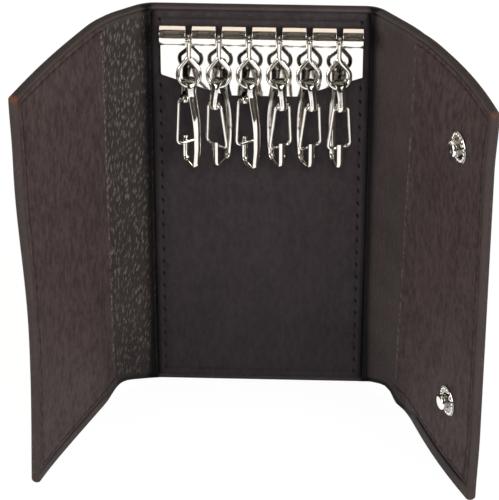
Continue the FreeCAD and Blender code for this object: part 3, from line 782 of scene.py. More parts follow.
@dataclass(frozen=True)
class Plan:
    """Middle line of one side of the open case, seen from above, with rounded folds."""

    side: Side
    spine_fold: tuple[float, float]
    flap_fold: tuple[float, float]
    edge: tuple[float, float]
    spine_reach: float
    flap_reach: float
    bows: tuple[Bow, ...] = ()
    lift: float = 0.0
    lift_span: Point = (0.0, 1.0, 2.0)
    lift_top: float = 30.0

    @property
    def corners(self) -> np.ndarray:
        """Corners of the unrounded line."""
        return np.array([(0.0, 0.0), self.spine_fold, self.flap_fold, self.edge])

    @property
    def stops(self) -> np.ndarray:
        """Distance along the line to each corner."""
        steps = np.linalg.norm(np.diff(self.corners, axis=0), axis=1)
        return np.concatenate([[0], np.cumsum(steps)])

    @property
    def fold_stations(self) -> list[float]:
        """Close stations through both folds."""
        folds = zip(self.stops[1:3], (self.spine_reach, self.flap_reach))
        return [s + k * r / FOLD_STEPS for s, r in folds for k in range(-FOLD_STEPS, FOLD_STEPS + 1)]

    def line(self, along: float) -> tuple[np.ndarray, np.ndarray]:
        """Place and outward direction on the middle line.

        Args:
            along: distance from the middle of the back.

        Returns:
            Place (x, y) and outward unit vector.
        """
        corners, stops = self.corners, self.stops
        part = int(np.clip(np.searchsorted(stops, along) - 1, 0, 2))
        way = (corners[part + 1] - corners[part]) / (stops[part + 1] - stops[part])
        spot = corners[part] + way * (along - stops[part])
        for number, reach in ((1, self.spine_reach), (2, self.flap_reach)):
            if abs(along - stops[number]) < reach:
                share = (along - stops[number] + reach) / (2 * reach)
                start = self.straight(stops[number] - reach)
                end = self.straight(stops[number] + reach)
                turn = corners[number]
                spot = (1 - share) ** 2 * start + 2 * share * (1 - share) * turn + share**2 * end
                way = (1 - share) * (turn - start) + share * (end - turn)
                way = way / np.linalg.norm(way)
        out = np.array([-way[1], way[0]]) * self.side.value
        return spot, out

    def straight(self, along: float) -> np.ndarray:
        """Place on the unrounded line.

        Args:
            along: distance from the middle of the back.

        Returns:
            Place (x, y).
        """
        corners, stops = self.corners, self.stops
        part = int(np.clip(np.searchsorted(stops, along) - 1, 0, 2))
        share = (along - stops[part]) / (stops[part + 1] - stops[part])
        return corners[part] + (corners[part + 1] - corners[part]) * share

    def warp(self, along: float, up: float) -> float:
        """Distance that the flap's bows push a spot outwards."""
        share = float(np.clip((along - self.stops[2]) / (self.stops[3] - self.stops[2]), 0, 1))
        return sum(bow.depth(share, up) for bow in self.bows)

    def raised(self, along: float, up: float) -> float:
        """Height that the lower hem of the spine has crept up from the table.

        Args:
            along: distance from the middle of the back.
            up: height on the flat hide.

        Returns:
            The added height.
        """
        start, top, end = (self.stops[1] + s for s in self.lift_span)
        rise = np.clip((along - start) / (top - start), 0, 1)
        fall = np.clip((end - along) / (end - top), 0, 1)
        share = min(rise, fall) ** 2 * (3 - 2 * min(rise, fall))
        return self.lift * float(share) * max(0.0, 1 - up / self.lift_top) ** 2

    def point(self, along: float, depth: float, up: float) -> Point:
        """Place in space of a spot in the leather.

        Args:
            along: distance from the middle of the back.
            depth: distance outwards from the middle line.
            up: height.

        Returns:
            The place.
        """
        spot, out = self.line(along)
        x, y = spot + out * (depth + self.warp(along, up))
        return x, y, up + self.raised(along, up)

    def frame_on(self, reach: float, up: float, outward: bool) -> Matrix:
        """Frame on a face of the flap.

        Args:
            reach: distance from the flap's fold.
            up: height.
            outward: whether the frame stands on the outer face.

        Returns:
            Frame whose Z points away from the leather.
        """
        spot = self.straight(self.stops[2] + reach)
        out = self.line(self.stops[2] + reach)[1] * (1 if outward else -1)
        rise, high = Vector((out[0], out[1], 0.0)), Vector((0.0, 0.0, 1.0))
        turn = Matrix((high.cross(rise), high, rise)).transposed().to_4x4()
        return Matrix.Translation((spot[0] + out[0] * HALF, spot[1] + out[1] * HALF, up)) @ turn

    def mark(self, along: float) -> Point:
        """Place on the middle line in metres, as a mark for a bend."""
        x, y = self.line(along)[0]
        return x * MM, y * MM, HEIGHT / 2 * MM


LEFT = Plan(
    side=Side.LEFT,
    spine_fold=(-28.7, 0.0),
    flap_fold=(-39.12, -7.43),
    edge=(-56.86, -48.03),
    spine_reach=2.6,
    flap_reach=5.5,
    bows=(
        Bow(push=-2.2, middle=46.0, below=75.0, above=48.0, shape=BowShape.CURL),
        Bow(push=1.1, middle=HEIGHT, below=17.0, above=17.0, shape=BowShape.ARCH),
    ),
    lift=2.6,
    lift_span=(-1.0, 11.0, 19.0),
)
RIGHT = Plan(
    side=Side.RIGHT,
    spine_fold=(28.7, 0.0),
    flap_fold=(40.12, -13.13),
    edge=(55.97, -51.59),
    spine_reach=2.6,
    flap_reach=6.5,
    bows=(
        Bow(push=1.9, middle=HEIGHT, below=17.0, above=17.0, shape=BowShape.ARCH),
        Bow(push=-1.2, middle=0.0, below=20.0, above=20.0, shape=BowShape.ARCH),
    ),
    lift=3.2,
    lift_span=(-2.0, 9.5, 14.0),
)

# Straight line for the centre panel, which lies on the back alone
FLAT = Plan(
    side=Side.RIGHT,
    spine_fold=(28.7, 0.0),
    flap_fold=(40.0, 0.0),
    edge=(60.0, 0.0),
    spine_reach=0.1,
    flap_reach=0.1,
)


@dataclass(frozen=True)
class Sheet:
    """Closed sheet of leather on a plan, between two distances along it."""

    plan: Plan
    start: float
    end: float
    low: float
    high: float
    corner: float
    sharp: float = 50.0

    def rows(self, steps: Sequence[float], gap: float, stops: Sequence[float] = ()) -> np.ndarray:
        """Heights of the rows, close together at the hems."""
        ends = [self.low + e for e in steps] + [self.high - e for e in steps]
        return spread([*ends, *stops], gap)

    def grid(self, columns: np.ndarray, rows: np.ndarray, corner_start: bool) -> Grids:
        """Distances along and heights of every spot, with rounded corners.

        Args:
            columns: distances along the plan.
            rows: heights of the rows.
            corner_start: whether the start has rounded corners too.

        Returns:
            Two grids (columns, rows).
        """
        inset = self.end - columns
        if corner_start:
            inset = np.minimum(inset, columns - self.start)
        cut = self.corner * (1 - rounded(inset / self.corner)) if self.corner else np.zeros(len(columns))
        share = (rows - self.low) / (self.high - self.low)
        up = self.low + cut[:, None] + share[None, :] * (self.high - self.low - 2 * cut[:, None])
        return np.repeat(columns[:, None], len(rows), axis=1), up

    def inset(self, spots: Grids, start: bool, end: bool, foot: float | np.ndarray = 0.0) -> np.ndarray:
        """Distance in from the hems.

        Args:
            spots: grids of distance along the plan and height.
            start: whether the start is a hem.
            end: whether the end is a hem.
            foot: how much wider the lower hem is, taken out of the distance in its flat part.

        Returns:
            Grid of distances.
        """
        along, up = spots
        rise = up - self.low
        rise = np.minimum(rise, np.maximum(HEM_FLAT, rise - foot))
        rise = np.minimum(rise, self.high - up)
        reach = np.full_like(along, 1e3)
        if end:
            reach = np.minimum(reach, self.end - along)
        if start:
            reach = np.minimum(reach, along - self.start)
        size = self.corner
        near = (rise < size) & (reach < size)
        inside = size - np.hypot(size - rise, size - reach)
        return np.maximum(np.where(near, inside, np.minimum(rise, reach)), 0)

    def build(
        self,
        name: str,
        finish: Finish,
        spots: Grids,
        depths: Grids,
        marks: dict[str, Grids],
    ) -> Piece:
        """Mesh of the sheet.

        Args:
            name: name of the piece.
            finish: material.
            spots: grids of distance along and height.
            depths: grids of the inner and outer depth.
            marks: extra pairs of grids kept on the corners, inside and outside.

        Returns:
            The object.
        """
        along, up = spots
        wide, tall = along.shape
        points, hide = [], []
        for depth in depths:
            for i in range(wide):
                for j in range(tall):
                    points.append(self.plan.point(along[i, j], depth[i, j], up[i, j]))
                    hide.append((along[i, j] * self.plan.side.value, depth[i, j], up[i, j]))
        layer = wide * tall
        faces = []
        for i in range(wide - 1):
            for j in range(tall - 1):
                a = i * tall + j
                faces.append((a, a + tall, a + tall + 1, a + 1))
                faces.append((layer + a, layer + a + 1, layer + a + tall + 1, layer + a + tall))
        for i in (0, wide - 1):
            if np.max(np.abs(depths[0][i] - depths[1][i])) > 1e-6:
                for j in range(tall - 1):
                    a = i * tall + j
                    faces.append((a, a + 1, layer + a + 1, layer + a))
        kept = {"hide": np.array(hide)}
        for label, (inside, outside) in marks.items():
            kept[label] = np.concatenate([inside.ravel(), outside.ravel()])
        return make_object(name, (np.array(points), faces), finish, self.sharp, kept)


def hem_depth(inset: np.ndarray, base: np.ndarray) -> np.ndarray:
    """Inner face of a cover: rounded hem, sewn valley, then the face that carries the lining.

    Args:
        inset: distance in from the hems.
        base: depth of the face behind the valley.

    Returns:
        Grid of depths.
    """
    rim = -HALF * rounded(inset / HEM_ROUND)
    fall = smoothstep((inset - VALLEY_START) / VALLEY_FALL)
    rise = smoothstep((inset - VALLEY_END) / VALLEY_RISE)
    return rim * (1 - fall) + fall * (-SEAT * (1 - rise) + base * rise)


@dataclass(frozen=True)
class Wear:
    """How one side of the case was cut, how it has aged, and how much painted shade and highlight it takes.

    The numbers are the height of the grain and of its painted shade and highlights, lower on the right,
    where less light grazes the grain, the brown of the rubbed corner, the extra width of the lower hem, the
    darkness of the painted shadow in the gap above that hem, where the lining starts past the flap's fold,
    how far the top of its edge stands out, and how pale the fibres of that edge are.
    """

    pebble: float
    corner: float
    foot: float
    gap: float
    start: float
    lean: float
    torn: float


# pebble is lower on the right, where less light grazes the grain, and gap darkens a painted shadow
SIDES = (
    (LEFT, Wear(pebble=1.0, corner=0.85, foot=1.9, gap=0.2, start=1.2, lean=0.5, torn=0.85)),
    (RIGHT, Wear(pebble=0.35, corner=0.4, foot=3.0, gap=0.7, start=-3.3, lean=2.2, torn=0.5)),
)


@dataclass
class Cover:
    """Outer cover of one side, in two sheets that meet in the middle of the spine.

    Numbers that end in dark, pale, brown or pebble are shares from 0 to 1, and the others are sizes.
    """

    plan: Plan
    wear: Wear
    grained: Finish
    gap: float = 2.5
    free_corner: float = 1.0
    panel_steps: tuple[float, ...] = (-1.2, -0.8, -0.4, 0.4, 0.8, 1.2)
    bare_before: float = 1.2
    bare_after: float = 0.5
    bare_gap: float = 0.1
    flap_start: float = 1.0
    flap_fade: float = 9.0
    fold_dark: float = 0.95
    fold_width: float = 1.7
    valley_dark: float = 0.3
    valley_width: float = 0.4
    foot_dark: float = 0.4
    foot_height: float = 14.0
    gap_inset: float = 1.15
    gap_end: float = 3.0
    edge_dark: float = 0.45
    edge_low: float = 1.4
    edge_high: float = 0.6
    rim_pale: float = 0.45
    rim_reach: float = 2.0
    rim_width: float = 0.6
    upper_worn: float = 1.5
    upper_squash: float = 1.1
    lower_brown: float = 0.2
    lower_worn: float = 2.0
    hem_pebble: float = 0.25
    pebble_fade: float = 1.5
    outside_pebble: float = 0.55
    hole: float = 2.6
    hole_depth: float = 3.0

    def sheet(self, name: str, ends: tuple[float, float], free: bool, panels: tuple[float, float]) -> Piece:
        """One sheet of the cover.

        Args:
            name: name of the piece.
            ends: distances along the plan where the sheet starts and ends.
            free: whether the end is the free edge of the flap.
            panels: distances between which no lining covers the sheet.

        Returns:
            The object.
        """
        plan, wear = self.plan, self.wear
        start, end = ends
        sheet = Sheet(plan, start, end, 0.0, HEIGHT, self.free_corner if free else 0.0)
        stops = [start, end, *panels, *plan.fold_stations]
        stops += [p + d for p in panels for d in self.panel_steps]
        if free:
            stops.extend(end - e for e in HEM_STEPS)
        columns = spread([s for s in stops if start <= s <= end], self.gap)
        shifted = [wear.foot + e for e in HEM_STEPS if e > HEM_FLAT]
        spots = sheet.grid(columns, sheet.rows(HEM_STEPS, self.gap, shifted), False)
        along, up = spots
        inset = sheet.inset(spots, False, free)
        past = smoothstep((along - plan.stops[2] - self.flap_start) / self.flap_fade)
        sewn = sheet.inset(spots, False, free, wear.foot * past)
        bare = smoothstep(along - panels[0] - self.bare_gap) * smoothstep(panels[1] - self.bare_gap - along)
        inner = hem_depth(sewn, -SEAT - BARE_RISE * bare)
        outer = HALF * rounded(inset / HEM_ROUND)
        # painted shade: dark in the fold, in the sewn valley, at the foot of the spine and under the
        # lining's lower edge
        low = up < HEIGHT / 2
        under = past * low * (along < end - self.gap_end)
        painted_shade = self.fold_dark * bell(along - plan.stops[1], self.fold_width)
        painted_shade += self.valley_dark * bell(sewn - VALLEY, self.valley_width)
        painted_shade += self.foot_dark * bare * bell(up, self.foot_height)
        painted_shade += wear.gap * under * bell(sewn - self.gap_inset, self.valley_width)
        # painted shade on the rounded hems, wider at the lower hem
        edge = self.edge_dark * (1 - smoothstep(inset / np.where(low, self.edge_low, self.edge_high)))
        rim = brown = np.zeros_like(inset)
        if free:
            # the free edge is rubbed lighter, and its corners are worn to brown
            side = smoothstep(self.rim_reach - end + along)
            rim = self.rim_pale * side * (1 - smoothstep((inset - self.rim_width) / self.rim_width))
            edge *= 1 - side
            upper = bell(np.hypot(along - end, (up - HEIGHT) * self.upper_squash), self.upper_worn)
            lower = bell(np.hypot(along - end, up), self.lower_worn)
            brown = wear.corner * upper + self.lower_brown * lower
        # the grain, with its painted shade and highlights, is flattened at the hems, and past the flap's
        # fold
        full = smoothstep((sewn - VALLEY_END) / self.pebble_fade) * (1 - past)
        pebble = wear.pebble * (self.hem_pebble + (1 - self.hem_pebble) * full)
        marks = {
            "rim": (rim, rim),
            "wear": (brown, brown),
            "painted_shade": (np.minimum(painted_shade + edge, 1), edge),
            "pebble": (pebble, np.full_like(inset, self.outside_pebble)),
        }
        return sheet.build(name, self.grained, spots, (inner, outer), marks)

    def build(self) -> list[Piece]:
        """Both sheets, with their transforms baked.

        Returns:
            The two objects.
        """
        plan, word = self.plan, self.plan.side.word
        stops = plan.stops
        middle = (stops[1] + stops[2]) / 2
        bare = (stops[1] - self.bare_before, stops[2] + self.bare_after)
        back = self.sheet(f"{word}_back_cover", (0.0, middle), False, bare)
        flap = self.sheet(f"{word}_flap_cover_sheet", (middle, stops[3]), True, bare)
        if plan.side is Side.LEFT:
            sockets = [plan.frame_on(SOCKET_REACH, up, True) for up in SNAPS.values()]
            drill(flap, sockets, self.hole, self.hole_depth)
        bend(back, plan, stops[1], plan.spine_reach)
        bend(flap, plan, stops[2], plan.flap_reach)
        parts = ("cover", "board", "lining")
        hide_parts(*(f"{word}_spine_{p}" for p in parts), "back_cover", "back_board")
        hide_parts(*(f"{word}_flap_{p}" for p in ("cover", "board")))
        return [back, flap]


def drill(piece: Piece, spots: Sequence[Matrix], radius: float, depth: float, sides: int = 32) -> None:
    """Cut round holes through a sheet, so that the studs can enter their sockets.

    Args:
        piece: the sheet.
        spots: frames of the holes, with Z along the hole.
        radius: radius of the holes.
        depth: how far a hole reaches to either side of its frame.
        sides: steps round a hole.
    """
    points, faces = lathe([(0.0, -depth), (radius, -depth), (radius, depth), (0.0, depth)], sides)
    for spot in spots:
        tool = make_object("drill", (place(points, spot), faces), piece.data.materials[0])
        cut = piece.modifiers.new("hole", "BOOLEAN")
        cut.operation = "DIFFERENCE"
        cut.solver = "EXACT"
        cut.object = tool
        bake(piece)
        bpy.data.objects.remove(tool)
    piece.data.set_sharp_from_angle(angle=math.radians(Sheet.sharp))


def bend(piece: Piece, plan: Plan, stop: float, reach: float) -> None:
    """Bake a piece's transform into its mesh; the places of the fold's ends are worked out and not used.

    Args:
        piece: the piece.
        plan: plan that the piece lies on.
        stop: distance along the plan to the fold.
        reach: half the width of the bend.
    """
    plan.mark(stop - reach)
    plan.mark(stop + reach)
    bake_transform(piece)


@dataclass
class Lining:
    """Smooth leather panel sewn to the inside of a flap, or to the back.

    Numbers that end in dark, with seam and torn, are shares from 0 to 1, and the others are sizes.
    """

    plan: Plan
    start: float
    end: float
    hem: float
    foot: float
    gutter: float
    lean: float
    sewn_start: bool
    dark: float
    seam: float
    torn: float
    finish: Finish
    gap: float = 2.0
    corner: float = 0.8
    groove: float = 0.2
    groove_width: float = 0.45
    fray_inset: float = 0.75
    fray_width: float = 0.36
    side_width: float = 1.3
    top_dark: float = 0.35
    top_height: float = 3.0
    foot_dark: float = 0.3
    foot_height: float = 50.0
    fold_dark: float = 0.4
    fold_height: float = 12.0
    fold_gap: float = 1.0
    fold_width: float = 7.0

    def build(self, name: str) -> Piece:
        """Mesh of the panel.

        Args:
            name: name of the piece.

        Returns:
            The object.
        """
        sheet = Sheet(self.plan, self.start, self.end, self.hem + self.foot, HEIGHT - self.hem, self.corner)
        stops = [*(self.start + e for e in PANEL_STEPS), *(self.end - e for e in PANEL_STEPS)]
        stops += self.plan.fold_stations
        columns = spread([s for s in stops if self.start <= s <= self.end], self.gap)
        spots = sheet.grid(columns, sheet.rows(PANEL_STEPS, self.gap), True)
        along, up = spots
        inset = sheet.inset(spots, True, True)
        inner = -LINING_BACK - (HALF - LINING_BACK) * rounded(inset / LINING_ROUND)
        groove = bell(sheet.inset(spots, self.sewn_start, True) - self.gutter, self.groove_width)
        inner += self.groove * groove * smoothstep(inset / LINING_ROUND)
        outer = np.full_like(inner, -LINING_BACK)
        none = np.zeros_like(inner)
        reach = along - self.start
        raw = sheet.high - up if self.sewn_start else reach
        fray = self.torn * bell(raw - self.fray_inset, self.fray_width)
        sides = np.minimum(reach, self.end - along)
        # painted shade along the sides and in the sewn groove
        painted_shade = self.dark * bell(sides, self.side_width) + self.seam * groove
        if self.sewn_start:
            # painted shade: the centre panel is darker along its upper edge and towards its foot
            painted_shade += self.top_dark * bell(sheet.high - up, self.top_height)
            painted_shade += self.foot_dark * (1 - smoothstep(up / self.foot_height))
        else:
            # painted shade: a flap's lining is darker at the foot of the fold
            near = bell(np.maximum(reach - self.fold_gap, 0), self.fold_width)
            painted_shade += self.fold_dark * bell(up, self.fold_height) * near
        marks = {"painted_shade": (np.minimum(painted_shade, 1), none), "fray": (fray, none)}
        share = (self.end - along) / (self.end - self.start)
        leaning = along + self.lean * share * (up * 2 / HEIGHT - 1)
        return sheet.build(name, self.finish, (leaning, up), (inner, outer), marks)


# Things that repeat


@dataclass(frozen=True)
class Repeat:
    """One small rounded shape set out many times: a stitch or a bead."""

    length: float
    width: float
    height: float
    slant: float
    jitter: float
    seed: int

    def tree(self) -> bpy.types.NodeTree:
        """Geometry Nodes tree that sets the shape on each point.

        Returns:
            The tree, with sockets for the sizes.
        """
        tree = bpy.data.node_groups.new("repeat_shape", "GeometryNodeTree")
        face = tree.interface
        face.new_socket("Geometry", in_out="OUTPUT", socket_type="NodeSocketGeometry")
        sockets = {
            "Geometry": "Geometry",
            "Size": "Vector",
            "Slant": "Float",
            "Jitter": "Float",
            "Seed": "Int",
            "Finish": "Material",
        }
        for label, kind in sockets.items():
            face.new_socket(label, in_out="INPUT", socket_type=f"NodeSocket{kind}")
        given = add_node(tree, "NodeGroupInput").outputs
        normal, along = (
            add_node(tree, "GeometryNodeInputNamedAttribute", {"Name": label}, data_type="FLOAT_VECTOR")
            for label in ("face_out", "row_way")
        )
        stand = add_node(tree, "FunctionNodeAlignRotationToVector", {"Vector": normal}, axis="Z")
        turned = {"Rotation": stand, "Vector": along}
        lie = add_node(tree, "FunctionNodeAlignRotationToVector", turned, axis="X", pivot_axis="Z")
        less = add_node(tree, MATH, {0: given["Jitter"], 1: -1.0}, operation="MULTIPLY")
        limits = {2: less, 3: given["Jitter"], "Seed": given["Seed"]}
        chance = add_node(tree, "FunctionNodeRandomValue", limits, data_type="FLOAT")
        lean = add_node(tree, MATH, {0: given["Slant"], 1: chance.outputs[1]}, operation="ADD")
        turn = add_node(tree, "ShaderNodeCombineXYZ", {"Z": lean})
        spin = add_node(tree, "FunctionNodeEulerToRotation", {0: turn})
        final = add_node(tree, "FunctionNodeRotateRotation", {0: lie, 1: spin}, rotation_space="LOCAL")
        ball = add_node(tree, "GeometryNodeMeshUVSphere", {"Segments": 10, "Rings": 6, "Radius": 0.5})
        sized = add_node(tree, "GeometryNodeTransform", {"Geometry": ball, "Scale": given["Size"]})
        dots = add_node(tree, "GeometryNodeMeshToPoints", {"Mesh": given["Geometry"]})
        set_out = {"Points": dots, "Instance": sized, "Rotation": final}
        many = add_node(tree, "GeometryNodeInstanceOnPoints", set_out)
        solid = add_node(tree, "GeometryNodeRealizeInstances", {"Geometry": many})
        soft = add_node(tree, "GeometryNodeSetShadeSmooth", {"Geometry": solid})
        done = add_node(tree, "GeometryNodeSetMaterial", {"Geometry": soft, "Material": given["Finish"]})
        add_node(tree, "NodeGroupOutput", {0: done})
        return tree

    def build(self, name: str, spots: list[tuple[Point, Point, Point]], finish: Finish) -> Piece:
        """Plain mesh of all the shapes.

        Args:
            name: name of the piece.
            spots: place, outward direction and direction of the row for each shape.
            finish: material.

        Returns:
            The object.
        """
        mesh = bpy.data.meshes.new(name)
        mesh.from_pydata([[c * MM for c in s[0]] for s in spots], [], [])
        for label, column in (("face_out", 1), ("row_way", 2)):
            attribute = mesh.attributes.new(label, "FLOAT_VECTOR", "POINT")
            attribute.data.foreach_set("vector", [float(c) for s in spots for c in s[column]])
        piece = link(name, mesh)
        tree = self.tree()
        values = {
            "Size": (self.length * MM, self.width * MM, self.height * MM),
            "Slant": math.radians(self.slant),
            "Jitter": math.radians(self.jitter),
            "Seed": self.seed,
            "Finish": finish,
        }
        modifier = piece.modifiers.new("repeat", "NODES")
        modifier.node_group = tree
        for item in tree.interface.items_tree:
            if item.in_out == "INPUT" and item.name in values:
                modifier[item.identifier] = values[item.name]
        bake(piece)
        return piece


FLAP_STITCH = Repeat(length=1.9, width=0.5, height=0.36, slant=6.0, jitter=5.0, seed=11)
BACK_STITCH = Repeat(length=1.7, width=0.75, height=0.36, slant=24.0, jitter=6.0, seed=5)
BEAD = Repeat(length=0.8, width=0.8, height=0.6, slant=0.0, jitter=0.0, seed=1)


def row_spots(plan: Plan, ends: tuple, depth: float, pitch: float) -> list[tuple[Point, Point, Point]]:
    """Places of the stitches in one straight row.

    Args:
        plan: plan that the row lies on.
        ends: (along, up) of both ends.
        depth: depth of the stitches in the leather.
        pitch: distance from stitch to stitch.

    Returns:
        Place, outward direction and row direction of each stitch.
    """
    (along_a, up_a), (along_b, up_b) = ends
    count = max(1, round(math.hypot(along_b - along_a, up_b - up_a) / pitch))
    step = 0.01
    found = []
    for i in range(count + 1):
        along = along_a + (along_b - along_a) * i / count
        up = up_a + (up_b - up_a) * i / count
        out = plan.line(along)[1]
        here = Vector(plan.point(along, depth, up))
        ahead = Vector(plan.point(along + (along_b - along_a) * step, depth, up + (up_b - up_a) * step))
        found.append((tuple(here), (-out[0], -out[1], 0.0), tuple((ahead - here).normalized())))
    return found


# Parts of the case


@dataclass
class Case:
    """Leather of the case: two covers, three linings and their stitching."""

    grained: Finish
    smooth: Finish
    thread: Finish
    brown: Finish
    centre: Finish
    flap_pitch: float = 3.2
    back_pitch: float = 3.75
    back_edge: float = 27.5
    hem: float = 1.45
    flap_gutter: float = 1.3
    back_gutter: float = 2.3
    stitch_depth: float = -1.08
    corner_gap: float = 1.5

    def build(self) -> list[Piece]:
        """All the leather pieces.

        Returns:
            The objects.
        """
        pieces = []
        for plan, wear in SIDES:
            pieces += Cover(plan, wear, self.grained).build()
            pieces += self.flap(plan, wear)
        return pieces + self.back()

    def flap(self, plan: Plan, wear: Wear) -> list[Piece]:
        """Lining and stitches of one flap.

        Args:
            plan: plan of the side.
            wear: how the side was cut and has aged.

        Returns:
            The two objects.
        """
        word, stops = plan.side.word, plan.stops
        first = stops[2] + wear.start
        panel = Lining(
            plan=plan,
            start=first,
            end=stops[3] - self.hem,
            hem=self.hem,
            foot=wear.foot,
            gutter=self.flap_gutter,
            lean=wear.lean,
            sewn_start=False,
            dark=0.0,
            seam=0.32,
            torn=wear.torn,
            finish=self.smooth,
        )
        lining = panel.build(f"{word}_flap_panel")
        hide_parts(f"{word}_flap_lining")
        inset = self.hem + self.flap_gutter
        side, low, high = stops[3] - inset, inset + wear.foot, HEIGHT - inset
        rows = [((side, low), (side, high))]
        rows += [((first + z / HEIGHT * 2 * wear.lean, z), (side - self.corner_gap, z)) for z in (low, high)]
        spots = [s for ends in rows for s in row_spots(plan, ends, self.stitch_depth, self.flap_pitch)]
        stitches = FLAP_STITCH.build(f"{word}_flap_stitches", spots, self.brown)
        for piece in (lining, stitches):
            bend(piece, plan, stops[2], plan.flap_reach)
        return [lining, stitches]

    def back(self) -> list[Piece]:
        """Centre panel and its stitches, which stay flat on the back.

        Returns:
            The two objects.
        """
        edge, inset = self.back_edge, self.hem + self.back_gutter
        lining = Lining(
            plan=FLAT,
            start=-edge,
            end=edge,
            hem=self.hem,
            foot=0.0,
            gutter=self.back_gutter,
            lean=0.0,
            sewn_start=True,
            dark=0.85,
            seam=0.15,
            torn=0.12,
            finish=self.centre,
        )
        panel = settle(lining.build("centre_panel_sheet"), "case_back", "lining_leather", "centre_panel")
        side = edge - self.back_gutter
        rows = [((x, inset), (x, HEIGHT - inset)) for x in (-side, side)]
        spots = [s for ends in rows for s in row_spots(FLAT, ends, self.stitch_depth, self.back_pitch)]
        stitches = BACK_STITCH.build("centre_stitches", spots, self.thread)
        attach(stitches, "case_back")
        return [panel, stitches]


@dataclass
class Rail:
    """Nickel rail: shaped plate whose upper edge rolls round the rod, slotted for the eyes."""

    metal: Finish
    centre: float = 0.3
    width: float = 50.7
    sheet: float = 0.8
    roll_z: float = 107.4
    roll: float = 2.3
    roll_step: float = 6.0
    last_turn: float = 308.0
    slot_foot: float = 105.4
    shoulder: float = 94.9
    foot: float = 89.1
    foot_half: float = 9.0
    slot: float = 1.6
    rows: int = 8
    gap: float = 2.0
    bevel: float = 0.16
    bevel_angle: float = 50.0
    rod: float = 0.45
    rod_sides: int = 20
    rod_length: float = 50.0
    rod_end: float = 0.12
    rod_end_share: float = 0.75

    def lower_edge(self, x: float) -> float:
        """Height of the plate's lower edge."""
        share = (abs(x - self.centre) - self.foot_half) / (self.width / 2 - self.foot_half)
        return self.foot + (self.shoulder - self.foot) * max(0.0, share)

    def plate(self) -> Piece:
        """Plate with its rolled and slotted edge.

        Returns:
            The object.
        """
        spans = [(self.centre, self.width / 2), (self.centre, self.foot_half)]
        spans += [(x, self.slot / 2) for x in EYE_PLACES]
        columns = spread([x + side * half for x, half in spans for side in (-1, 1)], self.gap)
        turns = np.concatenate([np.arange(0, self.last_turn, self.roll_step), [self.last_turn]])
        tall = self.rows + 1 + len(turns)
        points, faces = [], []
        for x in columns:
            heights = np.linspace(self.lower_edge(x), self.slot_foot, self.rows + 1)
            points += [(x, ROD_Y + self.roll, z) for z in heights]
            for turn in np.radians(turns):
                y = ROD_Y + self.roll * math.cos(turn)
                points.append((x, y, self.roll_z + self.roll * math.sin(turn)))
        for i in range(len(columns) - 1):
            middle = (columns[i] + columns[i + 1]) / 2
            cut = any(abs(middle - x) < self.slot / 2 for x in EYE_PLACES)
            for j in range(self.rows if cut else tall - 1):
                a = i * tall + j
                faces.append((a, a + tall, a + tall + 1, a + 1))
        rail = make_object("rail_sheet", (np.array(points), faces), self.metal, sharp=40.0)
        thick = rail.modifiers.new("thick", "SOLIDIFY")
        thick.thickness = self.sheet * MM
        thick.offset = 0.0
        thick.use_even_offset = True
        edge = rail.modifiers.new("edge", "BEVEL")
        edge.width = self.bevel * MM
        edge.segments = 2
        edge.limit_method = "ANGLE"
        edge.angle_limit = math.radians(self.bevel_angle)
        bake(rail)
        return rail

    def bar(self) -> Piece:
        """Round rod with slightly smaller ends.

        Returns:
            The object.
        """
        near, far = self.centre - self.rod_length / 2, self.centre + self.rod_length / 2
        stations = (near, near + self.rod_end, far - self.rod_end, far)
        path = np.array([(x, ROD_Y, ROD_Z) for x in stations])
        points, faces = sweep(path, circle(self.rod, self.rod_sides), False)
        for ring in (0, len(path) - 1):
            span = slice(ring * self.rod_sides, (ring + 1) * self.rod_sides)
            points[span] = path[ring] + (points[span] - path[ring]) * self.rod_end_share
        return make_object("rail_rod_bar", (points, faces), self.metal)

    def build(self) -> list[Piece]:
        """Rail and rod."""
        rail = settle(self.plate(), "case_back", "nickel_plate", "rail_plate")
        return [rail, settle(self.bar(), "case_back", "nickel_plate", "rail_rod")]


